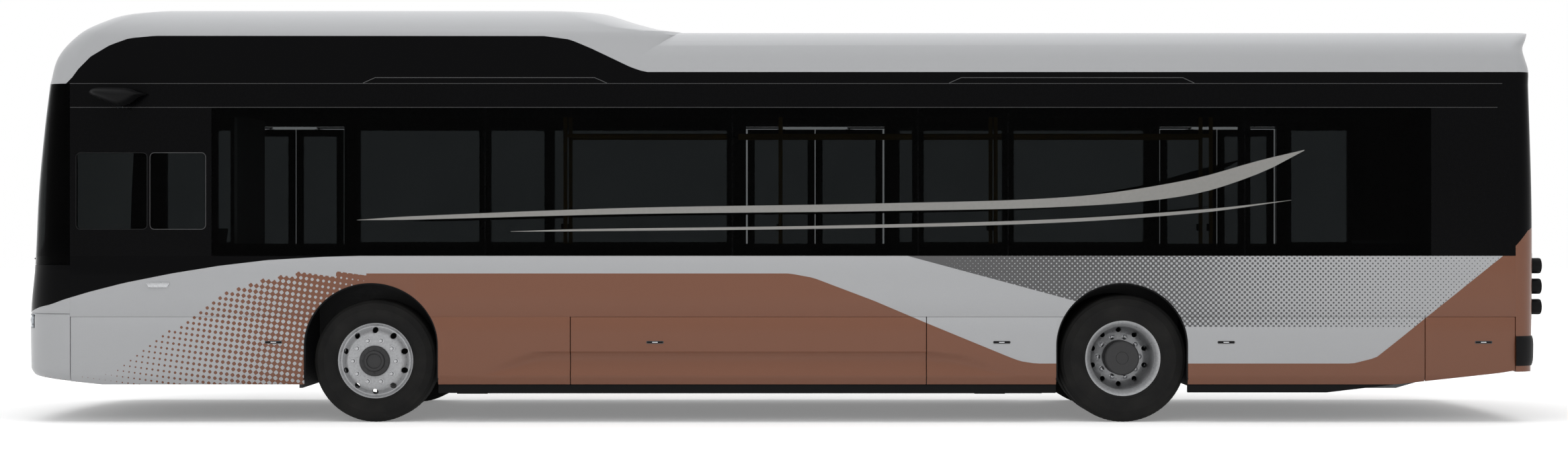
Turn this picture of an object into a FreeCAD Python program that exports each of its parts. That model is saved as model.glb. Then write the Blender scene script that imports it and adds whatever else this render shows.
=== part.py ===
import FreeCAD, Part
import os
from math import acos, cos, pi, radians, sin, sqrt

os.makedirs("parts", exist_ok=True)
V = FreeCAD.Vector

# A 12 m low-floor city bus. Millimetres. X runs to the rear, Y to the doors' side, Z up.
# The origin is the middle of the length and width, on the ground.

# Whole bus
length = 12050.0
width = 2550.0
front_overhang = 2852.0
rear_overhang = 3328.0
skirt_bottom = 300.0
sill_bottom = 232.0
flap_seam = 830.0
belt_line = 1305.0
band_bottom = 2465.0
roof_seam = 2651.0
low_roof = 3062.0
hump_roof = 3236.0
wall = 60.0
skin = 30.0
pane = 6.0
panel_gap = 6.0
seat_gap = 0.3
overrun = 50.0
touch = 0.000001
rod_sides = 8

half_width = width / 2
front_x = -length / 2
rear_x = length / 2
wheelbase = length - front_overhang - rear_overhang
front_axle_x = front_x + front_overhang
rear_axle_x = front_axle_x + wheelbase

# Front end: a bowed face between round corners that tighten upwards
nose_radius = 427.0
nose_bow_turn = radians(7.4)
corner_sides = 5
bow_sides = 4
bumper_top = 853.0
mask_top = 1236.0
# height share between skirt and roof seam, share of the corner radius
nose_shares = ((0.0, 0.97), (0.235, 0.98), (0.398, 0.87), (0.644, 0.777), (0.853, 0.628), (1.0, 0.49))
screen_glass = 8.0
screen_margin = 90.0
screen_corner = 120.0
tow_inset = 825.0
tow_y = half_width - tow_inset
tow_z = 470.0
tow_radius = 15.0
headlamp_bottom = 735.0
headlamp_top = 845.0
headlamp_inner_inset = 655.0
headlamp_outer_inset = 155.0
wiper_bar = 14.0
wiper_rise = 30.0
wiper_gap = 120.0
wiper_inset = 315.0

# Rear end
tail_radius = 170.0
tail_bow_turn = radians(5.4)
tail_shares = ((0.0, 0.93), (0.25, 1.0), (0.6, 1.0), (1.0, 0.78))
rear_bottom = 400.0
rear_bumper_bottom = 446.0
rear_bumper_top = 678.0
rear_bumper_proud = 18.0
hatch_inset = 495.0
hatch_half_width = half_width - hatch_inset
hatch_bottom = 720.0
hatch_top = 1420.0
rear_window_inset = 375.0
rear_window_half_width = half_width - rear_window_inset
rear_window_bottom = 1640.0
rear_window_top = 2330.0
lamp_radius = 62.0
lamp_proud = 34.0
lamp_sides = 12
lamp_heights = (900.0, 1062.0, 1224.0)
lamp_inset = 265.0
lamp_y = half_width - lamp_inset

# Roof: a hump over the front half, a ramp down and a low rear
hump_end_run = 1562.0
hump_end_x = front_axle_x + hump_end_run
ramp_run = 700.0
ramp_bend = 190.0
roof_nose_run = 800.0
roof_corner = 210.0
# levels of the roof: share of its rise, share of the front's run back
hump_shares = ((0.0, 0.0), (0.39, 0.09), (0.7, 0.31), (0.87, 0.55), (0.95, 0.72), (1.0, 1.0))
low_roof_shares = (0.0, 0.5, 0.78, 0.92, 1.0)

# Camera arms that stand in for mirrors
pod_run = 915.0
pod_x = front_x + pod_run
pod_low = 2467.0
pod_high = 2612.0
pod_length = 390.0
pod_reach = 240.0

# Wheel arches
arch_front_half = 524.0
arch_rear_half = 515.0
arch_base = 600.0
arch_rise = 493.0
arch_shift = -20.0
arch_sides = 20

# Tyres and wheels
front_tyre_radius = 481.0
rear_tyre_radius = 499.0
tyre_width = 275.0
bead_radius = 286.0
flange_radius = 298.0
rim_width = 210.0
rim_wall = 10.0
disc_wall = 12.0
rim_depth = 45.0
dish_radius = 185.0
wheel_sides = 20
# tyre section: share of its height, share of its half width
tyre_shares = ((0.0, 0.75), (0.5, 1.0), (0.86, 0.9), (1.0, 0.7))
disc_offset = 157.0
tyre_inset = 78.0
hub_radius = 88.0
stub_radius = 45.0
rear_stub_radius = 60.0
stub_gap = 0.3
hand_holes = 10
hand_hole_sides = 6
hand_hole_radius = 27.0
hand_hole_circle = 215.0
hub_cap_radius = 137.0
twin_spacing = 2 * disc_offset

# Steering
kingpin_offset = 140.0
kingpin_radius = 22.0
boss_radius = 50.0
boss_half = 70.0
ear_wall = 30.0
axle_beam = 110.0
axle_arm_half = 38.0
axle_arm_reach = 220.0
axle_arm_inset = 10.0
motor_block = 78.0
motor_half = 150.0

# Floor and boxes
floor_top = 340.0
floor_wall = 70.0
box_wall = 25.0
box_top = 1150.0
box_half = 565.0
box_inset = 730.0
box_inner_y = half_width - box_inset
rear_box_half = 545.0
rear_box_inset = 775.0
rear_box_inner_y = half_width - rear_box_inset

# Battery blocks under the floor and behind the rear seats
battery_inset = 375.0
battery_half_width = half_width - battery_inset
battery_rear_run = 1025.0
battery_rear_x = rear_x - battery_rear_run

# Doors
door_leaf = 40.0
door_edge = 16.0
door_middle = 10.0
door_bottom = 366.0
door_top = 2400.0
door_lintel = 2424.0
column_radius = 16.0
column_inset = 60.0
column_trim = 30.0
arm_wall = 12.0
arm_width = 34.0
arm_gap = 6.0
pin_radius = 8.0
leaf_rail = 62.0
door_header = 2440.0
front_leaf = 420.0
middle_leaf = 595.0
rear_leaf = 500.0
front_door_run = 1137.0
middle_door_share = 0.5937
rear_door_run = 1193.0
front_door_x = front_axle_x - front_door_run
middle_door_x = front_axle_x + wheelbase * middle_door_share
rear_door_x = rear_axle_x + rear_door_run

# Side windows: seams by shares of the run from the nose to the front axle, of the wheelbase and of the rear
window_bottom = 1400.0
window_top = 2390.0
window_post = 45.0
door_post = 90.0
driver_pane_shares = ((0.0182, 0.2524), (0.2608, 0.4465))
cab_seam_share = 0.4654
middle_seam_shares = (0.1487, 0.478, 0.7249, 0.8448)
tail_seam_shares = (0.2816, 0.72)
right_seam_share = 0.1913
driver_window_bottom = 1512.0
driver_window_top = 2116.0

# Seams between the left flaps
first_flap_run = 1541.0
middle_flap_run = 1546.0
last_flap_run = 979.0
flap_seams = (front_axle_x + first_flap_run, rear_axle_x - middle_flap_run, rear_x - last_flap_run)

# Seats in rows behind each axle
seat_width = 430.0
seat_depth = 420.0
seat_height = 440.0
seat_back = 560.0
cushion = 60.0
back_lean_share = 1.5
seat_pitch = 750.0
left_rows = 3
right_rows = 2
rear_rows = 2
left_row_run = 923.0
right_row_run = 1273.0
rear_row_run = 753.0

# Driver's place
driver_run = 1025.0
driver_inset = 575.0
driver_seat_x = front_x + driver_run
driver_seat_y = half_width - driver_inset
cab_step = 180.0
cab_back_run = 1775.0
cab_back_x = front_x + cab_back_run
cab_side_inset = 1025.0
cab_side_y = half_width - cab_side_inset
partition_wall = 25.0
dash_depth = 260.0
dash_height = 760.0
wheel_ring = 225.0
ring_bar = 16.0
column_lean = radians(25)

# Handrails and the display over the screen
rail_radius = 17.0
rail_start_run = 513.0
rail_end_run = 1753.0
rail_drop = 180.0
pole_count = 4
display_inset = 455.0
display_height = 260.0
display_depth = 110.0


def block(x0, x1, y0, y1, z0, z1):
    return Part.makeBox(x1 - x0, y1 - y0, z1 - z0, V(x0, y0, z0))


def rod(start, direction, radius, reach):
    return Part.makeCylinder(radius, reach, V(*start), V(*direction))


def across(radius, sides):
    """Corner radius of an even-sided bar or hole whose flats lie at the radius."""
    return radius / cos(pi / sides)


def flat_rod(start, direction, radius, reach, sides=rod_sides):
    """Bar of flats whose corners lie at the radius."""
    turns = [2 * pi * (index + 0.5) / sides for index in range(sides)]
    corners = [V(radius * cos(turn), radius * sin(turn), 0) for turn in turns]
    bar = Part.Face(Part.makePolygon(corners + corners[:1])).extrude(V(0, 0, reach))
    bar.Placement = FreeCAD.Placement(V(*start), FreeCAD.Rotation(V(0, 0, 1), V(*direction)))
    return bar


def place_xy(u, v, w):
    return V(u, v, w)


def place_xz(u, v, w):
    return V(u, w, v)


def place_yz(u, v, w):
    return V(w, u, v)


def rounded_wire(corners, place, level):
    """Closed outline of (u, v, radius) corners, in order, with tangent arcs."""
    count = len(corners)
    starts = []
    ends = []
    middles = []
    for index, (u, v, radius) in enumerate(corners):
        before = corners[index - 1]
        after = corners[(index + 1) % count]
        corner = V(u, v, 0)
        to_before = V(before[0] - u, before[1] - v, 0)
        to_after = V(after[0] - u, after[1] - v, 0)
        to_before.normalize()
        to_after.normalize()
        if radius == 0:
            starts.append(corner)
            ends.append(corner)
            middles.append(None)
            continue
        half = acos(max(-1, min(1, to_before.dot(to_after)))) / 2
        reach = radius * cos(half) / sin(half)
        inward = to_before + to_after
        inward.normalize()
        centre = corner + inward * (radius / sin(half))
        starts.append(corner + to_before * reach)
        ends.append(corner + to_after * reach)
        middles.append(centre - inward * radius)
    edges = []
    for index in range(count):
        start = starts[index]
        end = ends[index]
        if middles[index] is not None:
            points = [place(p.x, p.y, level) for p in (start, middles[index], end)]
            edges.append(Part.Arc(*points).toShape())
        following = starts[(index + 1) % count]
        if (following - end).Length > touch:
            edges.append(Part.makeLine(place(end.x, end.y, level), place(following.x, following.y, level)))
    return Part.Wire(edges)


def prism(corners, place, low, high):
    face = Part.Face(rounded_wire(corners, place, low))
    return face.extrude(place(0, 0, high) - place(0, 0, low))


def flat_faces(corners):
    """One flat face through the corners, or two triangles where they don't lie in a plane."""
    kept = [corner for corner, after in zip(corners, corners[1:] + corners[:1])
            if (after - corner).Length > touch]
    if len(kept) < 3:
        return []
    if len(kept) == 4:
        square = (kept[1] - kept[0]).cross(kept[2] - kept[0])
        if abs(square.dot(kept[3] - kept[0])) > touch * square.Length:
            return flat_faces(kept[:3]) + flat_faces([kept[0], kept[2], kept[3]])
    return [Part.Face(Part.makePolygon(kept + kept[:1]))]


def skinned(rings, closed=False):
    """Solid whose skin is flat facets from ring to ring, capped at both ends unless it closes on itself."""
    faces = []
    followers = rings[1:] + rings[:1] if closed else rings[1:]
    for ring, following in zip(rings, followers):
        for index in range(len(ring)):
            after = (index + 1) % len(ring)
            faces += flat_faces([ring[index], ring[after], following[after], following[index]])
    if not closed:
        faces += [Part.Face(Part.makePolygon(ring + ring[:1])) for ring in (rings[0], rings[-1])]
    shell = Part.makeShell(faces)
    shell.sewShape()
    solid = Part.makeSolid(shell)
    if solid.Volume < 0:
        solid.reverse()
    return solid


def fused(shapes):
    whole = shapes[0]
    if len(shapes) > 1:
        whole = whole.multiFuse(shapes[1:])
    return whole.removeSplitter()


def mirrored(shape):
    return shape.mirror(V(0, 0, 0), V(0, 1, 0))


def both(shape):
    return Part.makeCompound([shape, mirrored(shape)])


def save(name, shape):
    shape.exportStep("parts/" + name + ".step")


# Outer form of the two ends: plan outlines whose corners tighten with height, in flat facets

def end_crown(radius, turn):
    """How far the middle of an end's face stands beyond the roots of its corners."""
    return radius + (half_width - radius) * (1 - cos(turn)) / sin(turn)


nose_root_x = front_x + end_crown(nose_radius, nose_bow_turn)
tail_root_x = rear_x - lamp_proud - rear_bumper_proud - end_crown(tail_radius, tail_bow_turn)
cab_run = front_axle_x - nose_root_x


def end_points(root_x, facing, radius, turn, inset, level):
    """Plan outline of an end from its left root to its right one, as points on the corners and the bow."""
    corner = radius - inset
    corner_y = half_width - radius
    bow = corner + corner_y / sin(turn)
    bow_x = root_x - facing * (bow - corner) * cos(turn)
    rise = [pi / 2 - (pi / 2 - turn) * index / corner_sides for index in range(corner_sides)]
    left = [V(root_x + facing * corner * cos(angle), -corner_y - corner * sin(angle), level) for angle in rise]
    face = [turn - 2 * turn * index / bow_sides for index in range(bow_sides + 1)]
    middle = [V(bow_x + facing * bow * cos(angle), -bow * sin(angle), level) for angle in face]
    right = [V(point.x, -point.y, level) for point in reversed(left)]
    return left + middle + right


def radius_share(shares, height_share):
    """Corner share at any height, read between the given stations."""
    for (low, low_share), (high, high_share) in zip(shares, shares[1:]):
        if height_share <= high:
            return low_share + (high_share - low_share) * (height_share - low) / (high - low)
    return shares[-1][1]


def end_levels(shares, low, high):
    """Heights and corner shares of the stations from low to high."""
    span = roof_seam - skirt_bottom
    picks = [(low - skirt_bottom) / span]
    picks += [share for share, corner in shares if low + wall < skirt_bottom + share * span < high - wall]
    picks.append((high - skirt_bottom) / span)
    return [(skirt_bottom + share * span, radius_share(shares, share)) for share in picks]


def end_shell(root_x, facing, radius, turn, shares, span, outer, inner):
    """Wall that follows an end between two insets."""
    rings = []
    for level, share in end_levels(shares, *span):
        outside = end_points(root_x, facing, radius * share, turn, outer, level)
        inside = end_points(root_x, facing, radius * share, turn, inner, level)
        rings.append(outside + inside[::-1])
    return skinned(rings)


def end_solid(root_x, facing, radius, turn, shares, span, inset):
    """Everything in front of an end's roots, within an inset."""
    return skinned([end_points(root_x, facing, radius * share, turn, inset, level)
                    for level, share in end_levels(shares, *span)])


def nose_shell(low, high, outer, inner):
    return end_shell(nose_root_x, -1, nose_radius, nose_bow_turn, nose_shares, (low, high), outer, inner)


def nose_solid(low, high, inset):
    return end_solid(nose_root_x, -1, nose_radius, nose_bow_turn, nose_shares, (low, high), inset)


def tail_shell(low, high, outer, inner):
    return end_shell(tail_root_x, 1, tail_radius, tail_bow_turn, tail_shares, (low, high), outer, inner)


def tail_solid(low, high, inset):
    return end_solid(tail_root_x, 1, tail_radius, tail_bow_turn, tail_shares, (low, high), inset)


# Windscreen, its frame, the black front mask and the bumper

def windscreen():
    return nose_shell(mask_top, roof_seam, 0, screen_glass)


def front_mask():
    """Front wall under the screen and the frame that the screen is bonded to."""
    upper = nose_shell(mask_top, roof_seam, screen_glass, wall)
    screen_half = half_width - screen_margin
    opening = prism([(-screen_half, mask_top + screen_margin, screen_corner),
                     (screen_half, mask_top + screen_margin, screen_corner),
                     (screen_half, roof_seam - screen_margin, screen_corner),
                     (-screen_half, roof_seam - screen_margin, screen_corner)],
                    place_yz, front_x - overrun, nose_root_x - screen_margin)
    lower = nose_shell(bumper_top, mask_top, 0, wall)
    return fused([upper.cut(opening), lower])


def front_bumper():
    socket = rod((front_x - overrun, tow_y, tow_z), (1, 0, 0), tow_radius, nose_radius)
    return nose_shell(skirt_bottom, bumper_top, 0, wall).cut([lamp_pocket(), mirrored(lamp_pocket()), socket])


def lamp_pocket():
    return block(front_x - overrun, nose_root_x, half_width - headlamp_inner_inset,
                 half_width - headlamp_outer_inset, headlamp_bottom, headlamp_top)


def headlamps():
    return both(nose_shell(skirt_bottom, bumper_top, 0, wall).common(lamp_pocket()))


# Rear wall with its glass, hatch, bumper and lamps

def rear_window(grow):
    half = rear_window_half_width + grow
    low = rear_window_bottom - grow
    high = rear_window_top + grow
    return prism([(-half, low, screen_corner), (half, low, screen_corner),
                  (half, high, screen_corner), (-half, high, screen_corner)],
                 place_yz, tail_root_x + tail_radius / 2, rear_x + overrun)


def hatch_form(gap):
    half = hatch_half_width + gap
    return prism([(-half, hatch_bottom - gap, skin), (half, hatch_bottom - gap, skin),
                  (half, hatch_top + seat_gap * (gap > 0), 0), (-half, hatch_top + seat_gap * (gap > 0), 0)],
                 place_yz, tail_root_x + tail_radius / 2, rear_x + overrun)


def lamp_rods(radius, start, end):
    rods = []
    for height in lamp_heights:
        for side in (-1, 1):
            rods.append(flat_rod((start, side * lamp_y, height), (1, 0, 0), radius, end - start, lamp_sides))
    return Part.makeCompound(rods)


def rear_wall():
    shell = tail_shell(rear_bottom, roof_seam, 0, wall)
    return shell.cut(rear_window(0)).cut(rear_glass()).cut(hatch_form(panel_gap))


def rear_hatch():
    return tail_shell(rear_bottom, roof_seam, 0, wall).common(hatch_form(0))


def rear_glass():
    return tail_shell(rear_bottom, roof_seam, 0, pane).common(rear_window(window_post))


def rear_bumper():
    return tail_shell(rear_bumper_bottom, rear_bumper_top, -rear_bumper_proud, -seat_gap)


def rear_lamps():
    """Round lamps that stand out of the corners on stems reaching into the wall."""
    lamps = lamp_rods(lamp_radius, tail_root_x, rear_x)
    return lamps.cut(tail_solid(rear_bottom, roof_seam, 0))


# Side walls: frames with their windows cut, belt panels, flaps and sills

def arch_cutter(axle_x, half, side):
    """Open wheel arch: an elliptic crown on straight legs."""
    centre_x = axle_x + arch_shift
    outer_y = side * (half_width + overrun)
    inner_y = side * (half_width - wall - overrun)
    bottom = sill_bottom - overrun
    corners = [V(centre_x - half, outer_y, bottom), V(centre_x + half, outer_y, bottom)]
    for index in range(arch_sides + 1):
        angle = pi * index / arch_sides
        corners.append(V(centre_x + half * cos(angle), outer_y, arch_base + arch_rise * sin(angle)))
    return Part.Face(Part.makePolygon(corners + corners[:1])).extrude(V(0, inner_y - outer_y, 0))


def arches(side):
    return [arch_cutter(front_axle_x, arch_front_half, side), arch_cutter(rear_axle_x, arch_rear_half, side)]


def side_slab(side, x0, x1, z0, z1, depth, sunk):
    y = sorted((side * (half_width - sunk), side * (half_width - depth)))
    return block(x0, x1, y[0], y[1], z0, z1)


def window_cut(side, x0, x1, z0, z1, corner):
    y = sorted((side * (half_width + overrun), side * (half_width - wall - overrun)))
    return prism([(x0, z0, corner), (x1, z0, corner), (x1, z1, corner), (x0, z1, corner)],
                 place_xz, y[0], y[1])


def door_spans():
    spans = []
    for centre, leaf in ((front_door_x, front_leaf), (middle_door_x, middle_leaf), (rear_door_x, rear_leaf)):
        half = leaf + door_edge + door_middle / 2
        spans.append((centre - half, centre + half, leaf))
    return spans


def portal_cuts():
    cuts = []
    for low_x, high_x, leaf in door_spans():
        cuts.append(block(low_x, high_x, half_width - wall - overrun, half_width + overrun,
                          sill_bottom - overrun, door_lintel))
    return cuts


def glass_span(x0, x1):
    return x0 + panel_gap / 2, x1 - panel_gap / 2


def driver_panes():
    return [(nose_root_x + cab_run * start, nose_root_x + cab_run * end) for start, end in driver_pane_shares]


def left_panes():
    seams = [nose_root_x + cab_run * cab_seam_share]
    seams += [front_axle_x + wheelbase * share for share in middle_seam_shares]
    seams += [rear_axle_x + rear_overhang * share for share in tail_seam_shares]
    return list(zip(seams, seams[1:]))


def right_panes():
    """Panes between the doors, which keep a post's width from the door openings."""
    front, middle, rear = door_spans()
    seam = front_axle_x + wheelbase * right_seam_share
    return [(driver_panes()[0][0], front[0] - door_post), (front[1] + door_post, seam),
            (seam, middle[0] - door_post), (middle[1] + door_post, rear[0] - door_post),
            (rear[1] + door_post, left_panes()[-1][1])]


def side_frame(side):
    """Window frame: posts, cant rail and the band over the glass."""
    frame = side_slab(side, nose_root_x, tail_root_x, belt_line, roof_seam, wall, 0)
    panes = left_panes() if side < 0 else right_panes()
    cuts = []
    for x0, x1 in panes:
        low_x, high_x = glass_span(x0, x1)
        cuts.append(side_slab(side, low_x, high_x, belt_line, band_bottom, pane, -overrun))
        cuts.append(window_cut(side, x0 + window_post, x1 - window_post, window_bottom, window_top, 0))
    if side < 0:
        for x0, x1 in driver_panes():
            cuts.append(window_cut(side, x0, x1, driver_window_bottom, driver_window_top, skin))
    else:
        cuts += portal_cuts()
    if side < 0:
        return frame.cut(cuts)
    cuts.append(side_slab(side, nose_root_x, tail_root_x, door_lintel - seat_gap, door_lintel,
                          wall + overrun, -overrun))
    covers = []
    for low_x, high_x, leaf in door_spans():
        covers.append(block(low_x - overrun, high_x + overrun, half_width - wall - column_inset - overrun,
                            half_width - wall - seat_gap, door_header, roof_seam))
    return Part.makeCompound(frame.cut(cuts).Solids + covers)


def side_glass():
    panes = []
    for x0, x1 in left_panes():
        low_x, high_x = glass_span(x0, x1)
        panes.append(side_slab(-1, low_x, high_x, belt_line, band_bottom, pane, 0))
    for x0, x1 in driver_panes():
        opening = window_cut(-1, x0, x1, driver_window_bottom, driver_window_top, skin)
        panes.append(opening.common(side_slab(-1, x0, x1, belt_line, band_bottom, 2 * pane, pane)))
    for x0, x1 in right_panes():
        low_x, high_x = glass_span(x0, x1)
        panes.append(side_slab(1, low_x, high_x, belt_line, band_bottom, pane, 0))
    return Part.makeCompound(panes + [rear_glass()])


def side_panels(side):
    """Belt panel with the fixed parts of the skirt."""
    whole = side_slab(side, nose_root_x, tail_root_x, skirt_bottom, belt_line, wall, 0)
    cuts = arches(side)
    if side > 0:
        cuts += portal_cuts()
    else:
        for x0, x1 in flap_spans():
            cuts.append(side_slab(side, x0 - panel_gap, x1 + panel_gap, skirt_bottom - overrun, flap_seam,
                                  skin + panel_gap, -overrun))
    whole = whole.cut(cuts)
    if side > 0:
        sills = []
        for low_x, high_x, leaf in door_spans():
            sills.append(block(low_x + seat_gap, high_x - seat_gap, half_width - wall, half_width,
                               skirt_bottom, floor_top))
        whole = Part.makeCompound(whole.Solids + sills)
    return whole


def seam_reach(half):
    """Half of an arch's opening at the height of the flaps' seam."""
    return half * sqrt(1 - ((flap_seam - arch_base) / arch_rise) ** 2)


def flap_spans():
    front_arch = front_axle_x + arch_shift
    rear_arch = rear_axle_x + arch_shift
    return ((nose_root_x + panel_gap, front_arch - seam_reach(arch_front_half)),
            (flap_seams[0], flap_seams[1] - panel_gap),
            (flap_seams[1], rear_arch - seam_reach(arch_rear_half)),
            (rear_arch + seam_reach(arch_rear_half), flap_seams[2] - panel_gap),
            (flap_seams[2], tail_root_x - panel_gap))


def skirt_flap(index):
    x0, x1 = flap_spans()[index]
    flap = side_slab(-1, x0, x1, skirt_bottom, flap_seam - seat_gap, skin, 0)
    return flap.cut(arches(-1))


def sills():
    """Black rails under the skirts."""
    front_arch = front_axle_x + arch_shift
    rear_arch = rear_axle_x + arch_shift
    rails = []
    for x0, x1 in ((front_arch + arch_front_half, rear_arch - arch_rear_half),
                   (rear_arch + arch_rear_half, tail_root_x)):
        rails.append(block(x0, x1, -half_width + skin, -half_width + wall, sill_bottom, skirt_bottom))
    return both(Part.makeCompound(rails))


# Roof

def roof_ring(level, top, front_run, rear_root, tail_corner):
    """Plan outline of the roof at a level, drawn in where its long edges round off."""
    over = max(0, level - top + roof_corner)
    inset = roof_corner - sqrt(roof_corner ** 2 - over ** 2)
    corner = nose_radius * nose_shares[-1][1]
    front = end_points(nose_root_x + front_run, -1, corner + inset, nose_bow_turn, inset, level)
    rear = end_points(rear_root, 1, tail_corner + inset, tail_bow_turn, inset, level)
    return front + rear[::-1]


def roof_shell():
    """Low roof over the whole length, with a hump over the front half that ramps down to it."""
    tail_corner = tail_radius * tail_shares[-1][1]
    rise = hump_roof - roof_seam
    ramp = ramp_run / (hump_roof - low_roof)
    hump = []
    for share, run_share in hump_shares:
        level = roof_seam + rise * share
        down = min(hump_roof - level, hump_roof - low_roof)
        rear_root = hump_end_x + down * ramp - (ramp_bend if share == 1 else 0)
        hump.append(roof_ring(level, hump_roof, roof_nose_run * run_share, rear_root, tail_corner))
    low = []
    for share in low_roof_shares:
        level = roof_seam + (low_roof - roof_seam) * share
        front_run = roof_nose_run * radius_share(hump_shares, (level - roof_seam) / rise)
        low.append(roof_ring(level, low_roof, front_run, tail_root_x, tail_corner))
    return fused([skinned(hump), skinned(low)])


# Floor with its wheel boxes, and the battery blocks under and behind the cabin

def box_place(axle_x):
    """Half length and inner face of the wheel boxes on an axle."""
    if axle_x == front_axle_x:
        return box_half, box_inner_y
    return rear_box_half, rear_box_inner_y


def wheel_boxes():
    """Four boxes over the wheels, open below and towards the arches."""
    low = floor_top - floor_wall
    boxes = []
    for axle_x in (front_axle_x, rear_axle_x):
        half, inner_y = box_place(axle_x)
        outer = block(axle_x - half - box_wall, axle_x + half + box_wall, inner_y - box_wall,
                      half_width - wall, low, box_top + box_wall)
        hollow = block(axle_x - half, axle_x + half, inner_y, half_width, low - overrun, box_top)
        box = outer.cut(hollow)
        boxes += [box, mirrored(box)]
    return Part.makeCompound(boxes)


def floor_pan():
    """Floor panels: full width ahead of, between and behind the axles, narrow between the wheel boxes."""
    low = floor_top - floor_wall
    side = half_width - wall
    panels = []
    start = nose_root_x + seat_gap
    for axle_x in (front_axle_x, rear_axle_x):
        half, inner_y = box_place(axle_x)
        first = axle_x - half - box_wall - seat_gap
        last = axle_x + half + box_wall + seat_gap
        panels.append(block(start, first, -side, side, low, floor_top))
        narrow = inner_y - box_wall - seat_gap
        panels.append(block(first + seat_gap, last - seat_gap, -narrow, narrow, low, floor_top))
        start = last
    panels.append(block(start, tail_root_x - seat_gap, -side, side, low, floor_top))
    return Part.makeCompound([nose_solid(low, floor_top, wall + seat_gap)] + panels)


def battery_packs():
    low = floor_top - floor_wall
    under = block(front_axle_x + box_half + wall, rear_axle_x - rear_box_half - wall,
                  -battery_half_width, battery_half_width, sill_bottom - floor_wall, low)
    behind = block(battery_rear_x, tail_root_x - wall, -battery_half_width, battery_half_width,
                   floor_top, hatch_top)
    return Part.makeCompound([under, behind])


# Axles, knuckles and wheels

def outboard_y(inset):
    return half_width - tyre_inset - tyre_width / 2 - inset


front_wheel_y = outboard_y(0)
rear_wheel_y = outboard_y(0)
kingpin_y = front_wheel_y - kingpin_offset


def front_axle():
    """Low beam with a raised arm and an eye at each end for the kingpins."""
    z = front_tyre_radius
    low = floor_top - floor_wall - axle_beam
    arm_half = boss_half - axle_arm_inset
    eye = flat_rod((front_axle_x, kingpin_y, z - boss_half), (0, 0, 1), boss_radius, 2 * boss_half)
    arm = block(front_axle_x - axle_arm_half, front_axle_x + axle_arm_half,
                kingpin_y - axle_arm_reach, kingpin_y - boss_radius / 2, z - arm_half, z + arm_half)
    drop = block(front_axle_x - axle_arm_half, front_axle_x + axle_arm_half,
                 kingpin_y - axle_arm_reach, kingpin_y - axle_arm_reach / 2 - panel_gap, low, z + arm_half)
    bore = flat_rod((front_axle_x, kingpin_y, z - 2 * boss_half), (0, 0, 1),
                    across(kingpin_radius + stub_gap, rod_sides), 4 * boss_half)
    end = fused([eye, arm, drop]).cut(bore)
    beam = block(front_axle_x - axle_beam / 2, front_axle_x + axle_beam / 2,
                 -kingpin_y + axle_arm_reach / 2 + panel_gap, kingpin_y - axle_arm_reach / 2 - panel_gap,
                 low, low + axle_beam)
    return fused([beam, end, mirrored(end)])


def knuckle(side):
    """Steering knuckle: two ears on the kingpin, a web and the stub the wheel turns on."""
    z = front_tyre_radius
    y = kingpin_y
    ears = []
    for low in (z - boss_half - seat_gap - ear_wall, z + boss_half + seat_gap):
        ears.append(flat_rod((front_axle_x, y, low), (0, 0, 1), boss_radius, ear_wall))
        ears.append(block(front_axle_x - boss_radius, front_axle_x + boss_radius, y, y + 2 * boss_radius,
                          low, low + ear_wall))
    reach = boss_half + seat_gap + ear_wall
    pin = flat_rod((front_axle_x, y, z - reach), (0, 0, 1), kingpin_radius, 2 * reach)
    web = block(front_axle_x - boss_radius, front_axle_x + boss_radius, y + boss_radius + panel_gap,
                y + 2 * boss_radius, z - reach, z + reach)
    stub = flat_rod((front_axle_x, y + 2 * boss_radius, z), (0, 1, 0), stub_radius,
                    front_wheel_y + disc_offset - panel_gap - y - 2 * boss_radius, wheel_sides)
    whole = fused(ears + [pin, web, stub])
    return whole if side > 0 else mirrored(whole)


def turned(profile, centre):
    """Closed (radius, offset) profile turned about a wheel's axle in flat facets, offsets along Y."""
    rings = []
    for index in range(wheel_sides):
        turn = 2 * pi * index / wheel_sides
        rings.append([V(centre[0] + radius * sin(turn), centre[1] + offset, centre[2] - radius * cos(turn))
                      for radius, offset in profile])
    return skinned(rings, True)


def tyre(centre, radius):
    """Tyre: bead seat, bulged sidewalls, shoulders and a nearly flat tread."""
    half = tyre_width / 2
    height = radius - bead_radius
    side = [(bead_radius + height * up, half * out) for up, out in tyre_shares]
    return turned(side + [(r, -y) for r, y in reversed(side)], centre)


def hand_hole_cutters(centre):
    """Hand holes through a disc, as flat-sided cutters, each in the middle of a flat facet."""
    cutters = []
    facet = 2 * pi / wheel_sides
    for index in range(hand_holes):
        angle = (index * wheel_sides / hand_holes + 0.5) * facet - pi / 2
        start = (centre[0] + hand_hole_circle * cos(angle), centre[1] - disc_offset + disc_wall,
                 centre[2] + hand_hole_circle * sin(angle))
        cutters.append(flat_rod(start, (0, 1, 0), hand_hole_radius, 2 * disc_offset,
                                hand_hole_sides))
    return cutters


def front_rim(side):
    """Steered wheel's rim: flanges, a disc dished outwards and a closed hub on the stub."""
    centre = (front_axle_x, front_wheel_y, front_tyre_radius)
    half = rim_width / 2
    seat = bead_radius - seat_gap
    well = bead_radius - rim_depth
    bore = across(stub_radius + stub_gap, wheel_sides)
    cap = disc_offset + hub_radius / 2
    rim = turned([(dish_radius, disc_offset), (hub_radius, disc_offset), (hub_radius, cap), (0, cap),
                  (0, disc_offset), (bore, disc_offset), (bore, 0), (hub_radius, 0),
                  (hub_radius, disc_offset - disc_wall), (dish_radius, disc_offset - disc_wall),
                  (well, half / 2 - 2 * disc_wall), (well, -half / 2), (flange_radius, -half - rim_wall),
                  (seat, -half), (seat, half), (flange_radius, half + rim_wall), (well, half / 2)], centre)
    whole = rim.cut(hand_hole_cutters(centre))
    return whole if side > 0 else mirrored(whole)


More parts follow.
